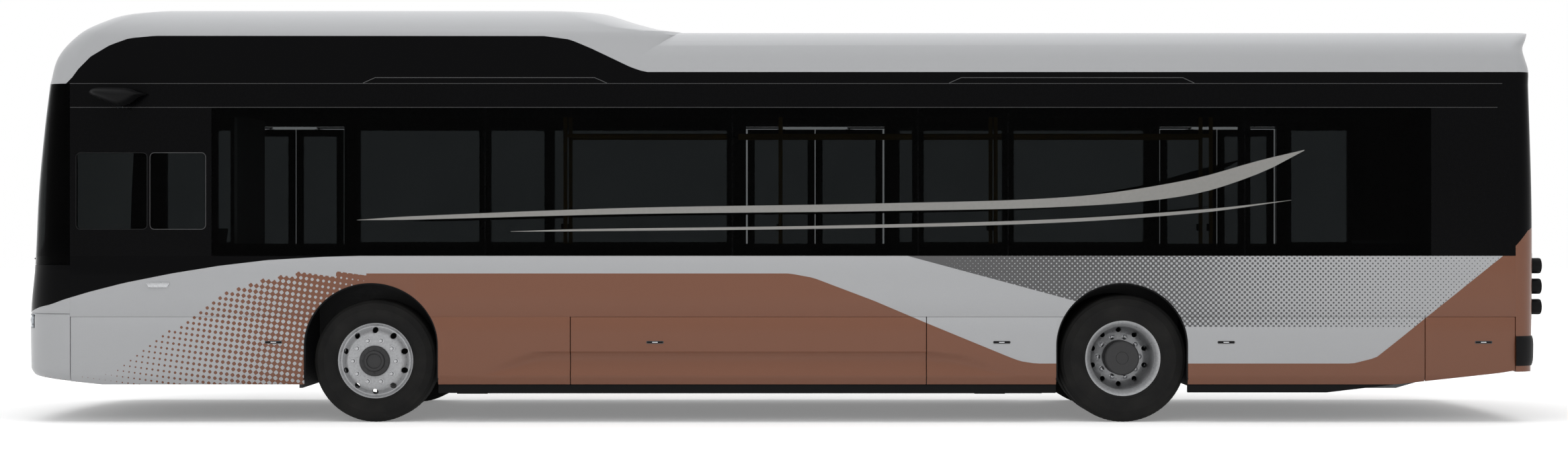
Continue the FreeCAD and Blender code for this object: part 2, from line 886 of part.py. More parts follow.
def rear_rims(side):
    """Twin rims bolted disc to disc on one hub with a standing cover."""
    centre = (rear_axle_x, rear_wheel_y, rear_tyre_radius)
    half = rim_width / 2
    seat = bead_radius - seat_gap
    well = bead_radius - rim_depth
    bore = across(rear_stub_radius + stub_gap, wheel_sides)
    inner = -twin_spacing
    face = disc_wall - disc_offset
    back = -disc_wall - disc_offset
    rims = turned([(dish_radius, face), (hub_cap_radius, face), (hub_cap_radius, disc_offset / 2),
                   (0, disc_offset / 2), (0, -disc_offset / 2), (bore, -disc_offset / 2),
                   (bore, back - hub_radius),
                   (hub_radius, back - hub_radius), (hub_radius, back), (dish_radius, back),
                   (well, inner + half / 2 - disc_wall), (flange_radius, inner - half - rim_wall),
                   (seat, inner - half), (seat, inner + half), (flange_radius, inner + half + rim_wall),
                   (well, inner + half / 2), (dish_radius, -disc_offset), (well, -half / 2),
                   (flange_radius, -half - rim_wall), (seat, -half), (seat, half),
                   (flange_radius, half + rim_wall), (well, disc_wall - half / 2)], centre)
    whole = rims.cut(hand_hole_cutters(centre))
    return whole if side > 0 else mirrored(whole)


def front_tyre(side):
    whole = tyre((front_axle_x, front_wheel_y, front_tyre_radius), front_tyre_radius)
    return whole if side > 0 else mirrored(whole)


def rear_tyres(side):
    pair = [tyre((rear_axle_x, rear_wheel_y - offset, rear_tyre_radius), rear_tyre_radius)
            for offset in (0, twin_spacing)]
    whole = Part.makeCompound(pair)
    return whole if side > 0 else mirrored(whole)


def rear_axle():
    """Low portal beam with a motor housing behind each pair of wheels."""
    z = rear_tyre_radius
    low = floor_top - floor_wall - axle_beam
    housing_y = rear_box_inner_y + 2 * panel_gap
    housing = block(rear_axle_x - motor_half, rear_axle_x + motor_half, housing_y, housing_y + motor_block,
                    low, z + motor_half)
    stub = flat_rod((rear_axle_x, housing_y, z), (0, 1, 0), rear_stub_radius,
                    rear_wheel_y - disc_offset / 2 - panel_gap - housing_y, wheel_sides)
    beam = block(rear_axle_x - axle_beam / 2, rear_axle_x + axle_beam / 2, -housing_y, housing_y,
                 low, low + axle_beam)
    return fused([beam, stub, mirrored(stub), housing, mirrored(housing)])


# Doors: each leaf is carried at its middle by arms on a turning column

def door_set(index):
    low_x, high_x, leaf = door_spans()[index]
    return ((low_x, 1, leaf), (high_x, -1, leaf))


def column_place(edge_x, way):
    return edge_x + way * (door_edge - column_trim), half_width - door_leaf / 2 - column_inset


def arm_reach(leaf):
    return (leaf + 2 * column_trim) / 2


def door_column(edge_x, way, leaf):
    """Turning column with an arm above and below the leaf, each with the pin that carries it."""
    x, y = column_place(edge_x, way)
    reach = arm_reach(leaf)
    parts = [flat_rod((x, y, floor_top + seat_gap), (0, 0, 1), column_radius,
                      door_header - floor_top - 2 * seat_gap)]
    for low, pin_low, pin_high in (
            (door_bottom - arm_gap - arm_wall, door_bottom - arm_gap - arm_wall, door_bottom + 2 * arm_wall),
            (door_top + arm_gap, door_top - 2 * arm_wall, door_top + arm_gap + arm_wall)):
        ends = sorted((x, x + way * (reach + arm_width / 2)))
        parts.append(block(ends[0], ends[1], y - arm_width / 2, y + arm_width / 2, low, low + arm_wall))
        parts.append(flat_rod((x + way * reach, y, pin_low), (0, 0, 1), pin_radius, pin_high - pin_low))
    return fused(parts)


def leaf_block(edge_x, way, leaf, y0, y1, inset, low, high):
    start = edge_x + way * (door_edge + inset)
    end = edge_x + way * (door_edge + leaf - inset)
    ends = sorted((start, end))
    return block(ends[0], ends[1], y0, y1, low, high)


def door_leaf_frame(edge_x, way, leaf):
    """Leaf frame with lugs at the arms' pins."""
    outer = half_width - pane
    inner = half_width - door_leaf
    frame = leaf_block(edge_x, way, leaf, inner, outer, 0, door_bottom, door_top)
    window = leaf_block(edge_x, way, leaf, inner - overrun, outer + overrun, leaf_rail,
                        door_bottom + 2 * leaf_rail, door_top - leaf_rail)
    x, y = column_place(edge_x, way)
    pivot_x = x + way * arm_reach(leaf)
    lugs = []
    bores = []
    for low in (door_bottom, door_top - 2 * arm_wall - seat_gap):
        high = low + 2 * arm_wall + seat_gap
        lugs.append(block(pivot_x - arm_width, pivot_x + arm_width, y - arm_width / 2, inner - seat_gap,
                          low, high))
        bores.append(flat_rod((pivot_x, y, low - overrun), (0, 0, 1),
                              across(pin_radius + stub_gap, rod_sides), high - low + 2 * overrun))
    return Part.makeCompound([frame.cut(window)] + [lug.cut(bore) for lug, bore in zip(lugs, bores)])


def door_leaf_glass(edge_x, way, leaf):
    return leaf_block(edge_x, way, leaf, half_width - pane, half_width, door_middle / 2, door_bottom, door_top)


# Cabin furniture

def seat(x, y, base_z):
    """One seat: cushion, back and a cantilever foot."""
    back_x = x + seat_depth
    top = base_z + seat_height
    cushion_form = block(x, back_x, y - seat_width / 2, y + seat_width / 2, top - cushion, top)
    lean = cushion * back_lean_share
    back = prism([(back_x - cushion, top - cushion, 0), (back_x, top - cushion, 0),
                  (back_x + lean, top + seat_back, 0), (back_x + lean - cushion, top + seat_back, 0)],
                 place_xz, y - seat_width / 2, y + seat_width / 2)
    foot = block(x + seat_depth / 2 - cushion / 2, x + seat_depth / 2 + cushion / 2,
                 y - cushion, y + cushion, base_z, top - cushion)
    return fused([cushion_form, back, foot])


def seats():
    """Double seats on the left and behind the rear axle, single ones on the right, and the driver's."""
    placed = []
    wall_y = half_width - wall - seat_width / 2 - cushion
    aisle_y = wall_y - seat_width - panel_gap
    for start, count, ys in ((front_axle_x + left_row_run, left_rows, (-wall_y, -aisle_y)),
                             (front_axle_x + right_row_run, right_rows, (wall_y,)),
                             (rear_axle_x + rear_row_run, rear_rows, (-wall_y, -aisle_y))):
        for index in range(count):
            placed += [seat(start + index * seat_pitch, y, floor_top) for y in ys]
    driver = seat(driver_seat_x, -driver_seat_y, floor_top + cab_step)
    return Part.makeCompound(placed + [driver])


def cab_partition():
    """Cab floor step, back wall and low side door of the driver's place."""
    start = nose_root_x + dash_depth / 2 + seat_gap
    top = floor_top + cab_step
    step = block(start, cab_back_x, -half_width + wall, -cab_side_y, floor_top, top)
    inner_x = cab_back_x - partition_wall
    back = block(inner_x, cab_back_x, -half_width + wall, -cab_side_y, top, band_bottom - wall)
    side = block(start, inner_x, -cab_side_y - partition_wall, -cab_side_y, top, belt_line)
    return fused([step, back, side])


def steering_ring(hub, lean):
    """Rim of the steering wheel, square in section, turned about its column."""
    turns = [2 * pi * index / wheel_sides for index in range(wheel_sides)]
    section = ((wheel_ring, 0), (wheel_ring + ring_bar, ring_bar), (wheel_ring, 2 * ring_bar),
               (wheel_ring - ring_bar, ring_bar))
    ring = skinned([[V(radius * cos(turn), radius * sin(turn), rise - ring_bar) for radius, rise in section]
                    for turn in turns], True)
    ring.Placement = FreeCAD.Placement(hub, FreeCAD.Rotation(V(0, 0, 1), lean))
    return ring


def dashboard():
    """Dashboard across the front with the column and the steering wheel."""
    base = block(nose_root_x - dash_depth, nose_root_x + dash_depth / 2, -half_width + 3 * wall,
                 half_width - 3 * wall, floor_top, floor_top + dash_height)
    room = nose_solid(floor_top, mask_top, wall + seat_gap)
    room = room.fuse(block(nose_root_x, nose_root_x + dash_depth, -half_width + wall, half_width - wall,
                           floor_top, mask_top))
    base = base.common(room)
    hub = V(nose_root_x + dash_depth, -driver_seat_y, floor_top + dash_height + ring_bar * 4)
    lean = V(sin(column_lean), 0, cos(column_lean))
    ring = steering_ring(hub, lean)
    spoke = flat_rod(hub - V(0, wheel_ring, 0), (0, 1, 0), ring_bar, 2 * wheel_ring)
    post_reach = dash_depth + 4 * ring_bar
    post = flat_rod(hub - lean * post_reach, lean, 2 * ring_bar, post_reach)
    return fused([base, ring, spoke, post])


def handrails():
    """Upright poles along each side of the aisle, with ceiling rails from pole to pole."""
    rail_y = half_width - wall - 2 * seat_width - 2 * cushion
    rail_z = band_bottom - rail_drop
    start = front_axle_x + rail_start_run
    pitch = (rear_axle_x + rail_end_run - start) / pole_count
    bars = []
    for side in (-1, 1):
        for index in range(pole_count):
            x = start + pitch * (index + 0.5)
            bars.append(flat_rod((x, side * rail_y, floor_top), (0, 0, 1), rail_radius, roof_seam - floor_top))
            if index > 0:
                gap = rail_radius * cos(pi / rod_sides) + seat_gap
                bars.append(flat_rod((x - pitch + gap, side * rail_y, rail_z), (1, 0, 0), rail_radius,
                                     pitch - 2 * gap))
    return Part.makeCompound(bars)


def destination_display():
    """Display box under the roof, close behind the screen."""
    half = half_width - display_inset
    return block(nose_root_x - display_depth, nose_root_x + display_depth / 2, -half, half,
                 roof_seam - display_height, roof_seam)


def camera_pods():
    """Camera arms that stand in for mirrors, one at each front roof corner."""
    corner = pod_length / 6
    arm = prism([(pod_x - pod_length / 2, half_width, corner), (pod_x + pod_length / 2, half_width, corner),
                 (pod_x + pod_length / 3, half_width + pod_reach, corner),
                 (pod_x - pod_length / 3, half_width + pod_reach, corner)],
                place_xy, pod_low, pod_high)
    arm = arm.fuse(block(pod_x - pod_length / 3, pod_x + pod_length / 3, half_width,
                         half_width + pod_reach / 2, pod_low, pod_high))
    return both(arm.removeSplitter())


def wipers():
    """Two wiper blades lying along the bottom of the screen."""
    low = mask_top + wiper_rise
    band = nose_shell(low, low + 2 * wiper_bar, -wiper_bar - seat_gap, -seat_gap)
    reach = block(front_x - overrun, nose_root_x, wiper_gap / 2, half_width - wiper_inset, low,
                  low + 2 * wiper_bar)
    return both(band.common(reach))


# Build and save each piece

save("roof_shell", roof_shell())
save("side_frame_left", side_frame(-1))
save("side_frame_right", side_frame(1))
save("side_panels_left", side_panels(-1))
save("side_panels_right", side_panels(1))
save("glazing", side_glass())
save("windscreen", windscreen())
save("front_mask", front_mask())
save("front_bumper", front_bumper())
save("headlamps", headlamps())
save("rear_wall", rear_wall())
save("rear_hatch", rear_hatch())
save("rear_bumper", rear_bumper())
save("rear_lamps", rear_lamps())
save("floor_pan", floor_pan())
save("wheel_boxes", wheel_boxes())
save("side_sills", sills())
save("battery_packs", battery_packs())
save("front_axle", front_axle())
save("rear_axle", rear_axle())
save("seats", seats())
save("handrails", handrails())
save("dashboard", dashboard())
save("cab_partition", cab_partition())
save("destination_display", destination_display())
save("camera_pods", camera_pods())
save("wipers", wipers())
for side, name in ((-1, "left"), (1, "right")):
    save("knuckle_" + name, knuckle(side))
    save("tyre_front_" + name, front_tyre(side))
    save("rim_front_" + name, front_rim(side))
    save("tyres_rear_" + name, rear_tyres(side))
    save("rims_rear_" + name, rear_rims(side))
for number, name in enumerate(("front", "middle", "rear")):
    for (edge_x, way, leaf), which in zip(door_set(number), ("a", "b")):
        label = name + "_" + which
        save("door_column_" + label, door_column(edge_x, way, leaf))
        save("door_leaf_" + label, door_leaf_frame(edge_x, way, leaf))
        save("door_glass_" + label, door_leaf_glass(edge_x, way, leaf))
for index in range(len(flap_spans())):
    save("skirt_flap_" + str(index + 1), skirt_flap(index))
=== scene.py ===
from functools import partialmethod
from math import cos, pi, radians, sin, sqrt

import bmesh
import bpy
from mathutils import Matrix, Vector


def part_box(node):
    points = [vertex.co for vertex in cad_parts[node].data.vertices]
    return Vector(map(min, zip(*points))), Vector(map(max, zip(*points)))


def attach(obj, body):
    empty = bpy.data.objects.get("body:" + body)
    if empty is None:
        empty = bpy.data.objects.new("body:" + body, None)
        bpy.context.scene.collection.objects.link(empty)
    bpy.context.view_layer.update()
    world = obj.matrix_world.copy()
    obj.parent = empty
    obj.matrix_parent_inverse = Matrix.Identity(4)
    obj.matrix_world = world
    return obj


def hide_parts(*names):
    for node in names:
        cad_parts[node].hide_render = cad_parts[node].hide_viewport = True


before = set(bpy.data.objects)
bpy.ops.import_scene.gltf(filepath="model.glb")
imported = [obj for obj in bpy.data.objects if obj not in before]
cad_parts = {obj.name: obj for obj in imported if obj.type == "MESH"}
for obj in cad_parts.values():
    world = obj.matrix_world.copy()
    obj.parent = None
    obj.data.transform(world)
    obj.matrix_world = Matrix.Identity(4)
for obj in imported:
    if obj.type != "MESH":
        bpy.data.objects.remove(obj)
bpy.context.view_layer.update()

# Sizes of the bus in metres. X runs to the rear, Y to the doors' side, Z up.
half_width = 1.275
front_x = -6.025
rear_x = 6.025
front_axle_x = -3.173
rear_axle_x = 2.697
skirt_bottom = 0.3
sill_bottom = 0.232
floor_top = 0.34
flap_seam = 0.83
belt_line = 1.305
band_bottom = 2.465
roof_seam = 2.651
low_roof = 3.062
hump_roof = 3.236
wall = 0.06
skin = 0.03
gap = 0.006
overcut = 0.1
sides = (-1, 1)
side_names = {-1: "left", 1: "right"}

# Ends: corner radius, turn of the bow, stations of height share and corner share
nose_radius = 0.427
nose_turn = radians(7.4)
nose_shares = ((0, 0.97), (0.235, 0.98), (0.398, 0.87), (0.644, 0.777), (0.853, 0.628), (1, 0.49))
tail_radius = 0.17
tail_turn = radians(5.4)
tail_shares = ((0, 0.93), (0.25, 1), (0.6, 1), (1, 0.78))
tail_setback = 0.052
bumper_top = 0.853
mask_top = 1.236
corner_steps = 14
bow_steps = 20
round_steps = 8

# Wheels
front_tyre_radius = 0.481
rear_tyre_radius = 0.499
tyre_half = 0.1375
bead_radius = 0.286
disc_offset = 0.157
wheel_y = 1.0595
twin_spacing = 2 * disc_offset

# Arches
arch_shift = -0.02
front_arch = front_axle_x + arch_shift
rear_arch = rear_axle_x + arch_shift
front_arch_half = 0.524
rear_arch_half = 0.515
arch_halves = ((front_arch, front_arch_half), (rear_arch, rear_arch_half))
arch_base = 0.6
arch_rise = 0.493
arch_steps = 64

# The picture's frame: its size and middle in picture points, the size of a point, and what its middle shows
picture_width = 2333
middle_column = 1166.5
middle_row = 342
picture_step = 0.00525
aim_x = 0.035
aim_z = 1.507


# Finishes

def linear(level):
    """Light value of a screen level from 0 to 255."""
    share = level / 255
    return share / 12.92 if share <= 0.04045 else ((share + 0.055) / 1.055) ** 2.4


def shade(*levels):
    return tuple(linear(level) for level in levels) + (1.0,)


def feed(tree, value, socket):
    """Links a signal or an output to an input, or sets the input to a value."""
    if isinstance(value, Signal):
        value = value.socket
    if isinstance(value, bpy.types.NodeSocket):
        tree.links.new(value, socket)
    else:
        socket.default_value = value


def add(tree, kind, inputs=(), **settings):
    """A new node with its settings, and its inputs set or linked."""
    node = tree.nodes.new(kind)
    for label, value in settings.items():
        setattr(node, label, value)
    for label, value in dict(inputs).items():
        feed(tree, value, node.inputs[label])
    return node


class Signal:
    """A number or colour carried through a material's nodes. Arithmetic on it adds Math nodes."""

    def __init__(self, tree, socket):
        self.tree = tree
        self.socket = socket

    def math(self, operation, *others):
        node = add(self.tree, "ShaderNodeMath", enumerate((self,) + others), operation=operation)
        return Signal(self.tree, node.outputs[0])

    __add__ = partialmethod(math, "ADD")
    __sub__ = partialmethod(math, "SUBTRACT")
    __mul__ = partialmethod(math, "MULTIPLY")
    over = partialmethod(math, "GREATER_THAN")
    under = partialmethod(math, "LESS_THAN")
    both = partialmethod(math, "MINIMUM")
    either = partialmethod(math, "MAXIMUM")

    def ramp(self, low, high, low_value=0.0, high_value=1.0):
        """Straight from one value to the other between two readings, and level beyond them."""
        node = add(self.tree, "ShaderNodeMapRange", {"Value": self, "From Min": low, "From Max": high,
                                                     "To Min": low_value, "To Max": high_value})
        return Signal(self.tree, node.outputs["Result"])

    def along(self, points):
        """Height of a drawn line over this reading."""
        low, high = points[0][0], points[-1][0]
        levels = [value for place, value in points]
        floor, top = min(levels), max(levels)
        node = self.tree.nodes.new("ShaderNodeFloatCurve")
        curve = node.mapping.curves[0]
        shares = [((place - low) / (high - low), (value - floor) / (top - floor)) for place, value in points]
        curve.points[0].location = shares[0]
        curve.points[1].location = shares[-1]
        for share in shares[1:-1]:
            curve.points.new(*share)
        for point in curve.points:
            point.handle_type = "VECTOR"
        node.mapping.update()
        feed(self.tree, self.ramp(low, high), node.inputs["Value"])
        return Signal(self.tree, node.outputs[0]).math("MULTIPLY_ADD", top - floor, floor)


class Finish:
    """A surface finish on the Principled shader, with grain and bump from the object's own place."""

    def __init__(self, name, **values):
        self.material = bpy.data.materials.new(name)
        self.material.use_nodes = True
        self.tree = self.material.node_tree
        self.shader = self.tree.nodes["Principled BSDF"]
        for label, value in values.items():
            self.drive(label.replace("_", " ").title().replace("Ior", "IOR"), value)
        self.coordinates = add(self.tree, "ShaderNodeTexCoord").outputs["Object"]

    def drive(self, label, value):
        feed(self.tree, value, self.shader.inputs[label])

    def place(self):
        """The three readings of the place on the object."""
        split = add(self.tree, "ShaderNodeSeparateXYZ", {0: self.coordinates})
        return [Signal(self.tree, output) for output in split.outputs]

    def grain(self, scale, detail=3.0):
        """Noise of that many cells in a metre."""
        mapping = add(self.tree, "ShaderNodeMapping", {"Vector": self.coordinates})
        noise = add(self.tree, "ShaderNodeTexNoise", {"Vector": mapping.outputs[0], "Scale": scale,
                                                      "Detail": detail})
        return Signal(self.tree, noise.outputs["Fac"])

    def cells(self, scale):
        cells = add(self.tree, "ShaderNodeTexVoronoi", {"Vector": self.coordinates, "Scale": scale})
        return Signal(self.tree, cells.outputs["Distance"])

    def mixed(self, share, first, second):
        """Colour between two, by a share. The node's colour sockets are its seventh and eighth."""
        mix = self.tree.nodes.new("ShaderNodeMix")
        mix.data_type = "RGBA"
        for label, value in (("Factor", share), (6, first), (7, second)):
            feed(self.tree, value, mix.inputs[label])
        return Signal(self.tree, mix.outputs[2])

    def made(self, colour, rough, relief=None, height=0.0):
        """Links colour, roughness and relief, and gives the material."""
        self.drive("Base Color", colour)
        self.drive("Roughness", rough)
        if relief:
            bump = add(self.tree, "ShaderNodeBump", {"Distance": height, "Height": relief})
            self.drive("Normal", bump.outputs["Normal"])
        return self.material


def plain_finish(name, colour, roughness, spread=0.12, scale=40.0, bump=0.0002, **values):
    """Even stuff such as paint, plastic or metal, whose colour and gloss waver a little."""
    finish = Finish(name, **values)
    grain = finish.grain(scale)
    tones = [tuple(min(1.0, level * share) for level in colour[:3]) + (1.0,)
             for share in (1 - spread, 1 + spread)]
    return finish.made(finish.mixed(grain.ramp(0.3, 0.7), *tones),
                       grain.ramp(0.3, 0.7, roughness * 0.85, roughness * 1.15), grain, bump)


def picture_x(column):
    """Place along the bus of a column of the picture, on the near side."""
    return (column - middle_column) * picture_step + aim_x


def picture_z(row):
    return aim_z + (middle_row - row) * picture_step


def drawn(points):
    return [(picture_x(column), picture_z(row)) for column, row in points]


# Lines of the livery as seen on the near side
black_edge = ([(-6.1, 0.79), (-5.97, 0.83), (-5.9, 0.87), (-5.8, 0.905), (-5.7, 0.925)]
              + drawn([(93.7, 445.7), (133, 434), (184.5, 420.8), (257, 406.4), (326, 395.3), (398, 386.8),
                       (480, 382), (535, 380.5), (2234.5, 380.5), (2240, 377), (2257, 364), (2279.5, 338.5),
                       (2330, 338.5)]))
roof_edge = ([(-6.1, roof_seam), (-5.56, roof_seam)]
             + drawn([(115.7, 103.3), (134.8, 84), (163.5, 67), (192, 56.8), (230.5, 53.2), (810, 53.5),
                      (848, 58.7), (878.6, 71.4), (939.8, 100.5), (960, 107), (2330, 107)]))
brown_edge = drawn([(150, 560), (173, 547), (275, 477), (331, 438), (398, 413.6), (442, 407.5), (540, 406.6),
                    (1175, 406.6), (1210, 413), (1300, 447), (1379, 480.5), (1502, 531), (1518, 537),
                    (1541, 540.5), (2013, 540.5), (2047, 532), (2075, 510), (2121, 473), (2234.5, 382),
                    (2257, 364), (2279.5, 338.5), (2330, 338.5)])
grey_edge = drawn([(1340, 378), (1352, 381), (1605, 449), (1700, 474), (1760, 486), (2330, 486)])
# column of the picture, how high a dot's bump must be to show
brown_fade = ((165, 0.98), (178, 0.93), (240, 0.81), (300, 0.68), (375, 0.53), (440, 0.38), (500, 0.19),
              (545, 0))
grey_fade = ((1400, 0), (1500, 0.12), (1700, 0.36), (1850, 0.55), (2050, 0.76), (2235, 0.93), (2300, 1))
brown_root = picture_x(545)
brown_pitch = 8.5 * picture_step
grey_pitch = 5.5 * picture_step


def lattice(x, z, pitch, turn):
    """Halftone screen: height of a bump in each cell from 0 to 1, and the middle of the cell."""
    across = x * (cos(turn) / pitch) + z * (sin(turn) / pitch)
    along = z * (cos(turn) / pitch) - x * (sin(turn) / pitch)
    wave = (across * (2 * pi)).math("COSINE") + (along * (2 * pi)).math("COSINE")
    middle_across = across.math("ROUND")
    middle_along = along.math("ROUND")
    middle_x = middle_across * (cos(turn) * pitch) - middle_along * (sin(turn) * pitch)
    middle_z = middle_across * (sin(turn) * pitch) + middle_along * (cos(turn) * pitch)
    return wave * 0.25 + 0.5, middle_x, middle_z


def livery():
    """Silver body with brown and dark grey fields that break up into dots, under a black glass band."""
    finish = Finish("livery_paint")
    x, y, z = finish.place()
    flake = finish.grain(900.0, 1.0)
    wave = finish.grain(1.3, 2.0)
    base = finish.mixed(flake.ramp(0.3, 0.7), shade(159, 160, 162), shade(169, 170, 172))
    dots, dot_x, dot_z = lattice(x, z, brown_pitch, radians(-8))
    level = dot_x.along([(picture_x(column), share) for column, share in brown_fade])
    left = x.under(brown_root)
    spotted = dots.over(level).both(dot_z.under(dot_x.along(brown_edge))).both(left)
    solid = z.under(x.along(brown_edge)).both(x.over(brown_root))
    brown_share = spotted.either(solid)
    brown_tone = finish.mixed(flake.ramp(0.3, 0.7), shade(107, 66, 46), shade(116, 73, 52))
    mesh = lattice(x, z, grey_pitch, radians(45))[0]
    fade = x.along([(picture_x(column), share) for column, share in grey_fade])
    grey_share = mesh.over(fade).both(z.over(x.along(grey_edge))).both(x.over(picture_x(1352)))
    grey_share = grey_share.both(z.under(belt_line + gap))
    painted = finish.mixed(grey_share, base, shade(78, 78, 79))
    painted = finish.mixed(brown_share, painted, brown_tone)
    dust = wave.ramp(0.2, 1.0, 0.0, 0.08) * z.ramp(0.3, 0.75, 1.0, 0.0)
    painted = finish.mixed(dust, painted, shade(70, 66, 60))
    dark = z.over(x.along(black_edge)).both(z.under(x.along(roof_edge)))
    painted = finish.mixed(dark, painted, shade(4, 4, 5))
    rough = wave.ramp(0.15, 0.85, 0.28, 0.32) - dark * 0.12
    finish.drive("Specular IOR Level", dark.ramp(0, 1, 0.4, 0.05))
    return finish.made(painted, rough, flake, 0.00002)


def glass(name, tint, roughness):
    """Tinted glass with faint smears."""
    finish = Finish(name, transmission_weight=1.0, ior=1.08, specular_ior_level=0.05)
    smear = finish.grain(3.0, 4.0)
    dark = tuple(level * 0.93 for level in tint[:3]) + (1.0,)
    return finish.made(finish.mixed(smear.ramp(0.35, 0.65), dark, tint),
                       smear.ramp(0.35, 0.65, roughness, roughness * 2))


def seat_cloth():
    """A fine weave over a soft pattern of two tones."""
    finish = Finish("seat_cloth", sheen_weight=0.35, sheen_roughness=0.5)
    x, y, z = finish.place()
    threads = (y * 2200).math("SINE") + (z * 2200).math("SINE") + (x * 2200).math("SINE")
    colour = finish.mixed(finish.cells(26.0).ramp(0.25, 0.5), shade(44, 48, 56), shade(70, 76, 88))
    return finish.made(colour, threads.ramp(-2.0, 2.0, 0.8, 0.95), threads.ramp(-2.0, 2.0), 0.0006)


def floor_covering():
    """Floor covering with scattered chips."""
    finish = Finish("floor_covering", specular_ior_level=0.3)
    chips = finish.cells(170.0)
    colour = finish.mixed(chips.ramp(0.14, 0.2), shade(128, 130, 132), shade(84, 86, 88))
    return finish.made(colour, finish.grain(8.0).ramp(0.3, 0.7, 0.5, 0.68), chips, 0.0004)


def tyre_rubber():
    """Rubber with a fine grain and a film of dust."""
    finish = Finish("tyre_rubber", specular_ior_level=0.15)
    grain = finish.grain(160.0, 4.0)
    film = finish.grain(5.0, 3.0)
    colour = finish.mixed(film.ramp(0.4, 0.75, 0.0, 0.5), shade(21, 21, 21), shade(40, 39, 37))
    return finish.made(colour, grain.ramp(0.3, 0.7, 0.62, 0.8), grain, 0.0006)


def led_matrix():
    """Unlit display: rows of dark dots behind black glass."""
    finish = Finish("display_matrix", specular_ior_level=0.4)
    x, y, z = finish.place()
    dots = (y * (2 * pi / 0.012)).math("COSINE") + (z * (2 * pi / 0.012)).math("COSINE")
    colour = finish.mixed(dots.ramp(0.6, 1.2), shade(10, 10, 11), shade(46, 38, 22))
    return finish.made(colour, dots.ramp(-1.0, 1.0, 0.2, 0.4))


# material, colour, roughness and other settings of each plain finish
plain = {
    "black_gloss": ("black_gloss_paint", (4, 4, 5), 0.2, {"specular_ior_level": 0.05, "bump": 0.00002}),
    "trim": ("trim_moulding", (13, 13, 14), 0.45, {"scale": 220.0, "specular_ior_level": 0.1}),
    # grey of the driver's window frame and of the catches' slots; on the band's edges and the roof ledges
    # this grey is a painted highlight
    "seam": ("seam_grey_and_painted_highlight", (52, 52, 53), 0.35, {}),
    "rubber": ("seal_rubber", (18, 18, 19), 0.7, {"scale": 120.0, "specular_ior_level": 0.15}),
    "plastic": ("grained_plastic", (46, 47, 49), 0.6, {"scale": 420.0, "bump": 0.0006}),
    "liner": ("cabin_lining", (150, 150, 148), 0.6, {"scale": 300.0, "bump": 0.0004}),
    "steel": ("painted_steel", (42, 42, 43), 0.5, {"scale": 60.0, "bump": 0.0006, "metallic": 0.3}),
    "cast": ("cast_iron", (58, 57, 56), 0.62, {"scale": 90.0, "bump": 0.0015, "metallic": 0.5}),
    "rail": ("yellow_rail_coating", (196, 150, 26), 0.35, {"scale": 90.0}),
    "bright": ("brushed_bright_metal", (178, 179, 181), 0.28, {"scale": 130.0, "metallic": 0.85}),
    "wheel": ("polished_wheel_metal", (158, 159, 161), 0.32,
              {"scale": 70.0, "metallic": 0.45, "bump": 0.0003}),
    "hub": ("hub_casting", (50, 50, 51), 0.55, {"scale": 110.0, "bump": 0.001, "metallic": 0.4}),
    "film": ("grey_film", (130, 129, 126), 0.4, {"spread": 0.04}),
    "plate": ("blank_plate", (214, 213, 208), 0.4, {"spread": 0.03}),
}
finishes = {key: plain_finish(name, shade(*levels), rough, **others)
            for key, (name, levels, rough, others) in plain.items()}
finishes.update({
    "livery": livery(), "tyre": tyre_rubber(), "cloth": seat_cloth(), "floor": floor_covering(),
    "display": led_matrix(),
    "side_glass": glass("dark_side_glass", shade(88, 91, 92), 0.004),
    "screen_glass": glass("windscreen_glass", shade(92, 95, 95), 0.004),
    "lamp_glass": glass("lamp_glass", shade(222, 226, 230), 0.02),
    "red_lens": glass("red_lens", shade(190, 16, 14), 0.05),
    "amber_lens": glass("amber_lens", shade(224, 120, 18), 0.05),
})


# Making of pieces

def placed(name, data):
    """A new object at the origin."""
    thing = bpy.data.objects.new(name, data)
    bpy.context.scene.collection.objects.link(thing)
    return thing


def put(points, faces, finish):
    """A mesh from points and faces, at the origin, with its doubles merged and its faces outward."""
    mesh = bpy.data.meshes.new("form")
    mesh.from_pydata([tuple(point) for point in points], [], faces)
    work = bmesh.new()
    work.from_mesh(mesh)
    bmesh.ops.remove_doubles(work, verts=work.verts, dist=0.00002)
    bmesh.ops.recalc_face_normals(work, faces=work.faces)
    work.to_mesh(mesh)
    work.free()
    mesh.materials.append(finishes[finish])
    return placed("form", mesh)


def evaluated(piece):
    """Mesh of a piece with its modifiers in it."""
    graph = bpy.context.evaluated_depsgraph_get()
    graph.update()
    return bpy.data.meshes.new_from_object(piece.evaluated_get(graph))


def settled(piece):
    """Takes the modifiers into the mesh."""
    mesh = evaluated(piece)
    piece.modifiers.clear()
    piece.data = mesh
    return piece


def carve(piece, cutters, operation="DIFFERENCE"):
    """Cuts other shapes out of a piece, which then are gone."""
    for cutter in cutters:
        modifier = piece.modifiers.new("cut", "BOOLEAN")
        modifier.operation = operation
        modifier.solver = "EXACT"
        modifier.object = cutter
        settled(piece)
        bpy.data.objects.remove(cutter)
    return piece


def edged(piece, width=0.002, segments=2, angle=35):
    """Rounds the sharp edges a little and shades the rest smooth."""
    if width:
        bevel = piece.modifiers.new("edges", "BEVEL")
        bevel.width = width
        bevel.segments = segments
        bevel.limit_method = "ANGLE"
        bevel.angle_limit = radians(angle)
        bevel.harden_normals = False
        settled(piece)
    mesh = piece.data
    mesh.polygons.foreach_set("use_smooth", [True] * len(mesh.polygons))
    mesh.set_sharp_from_angle(angle=radians(angle))
    return piece


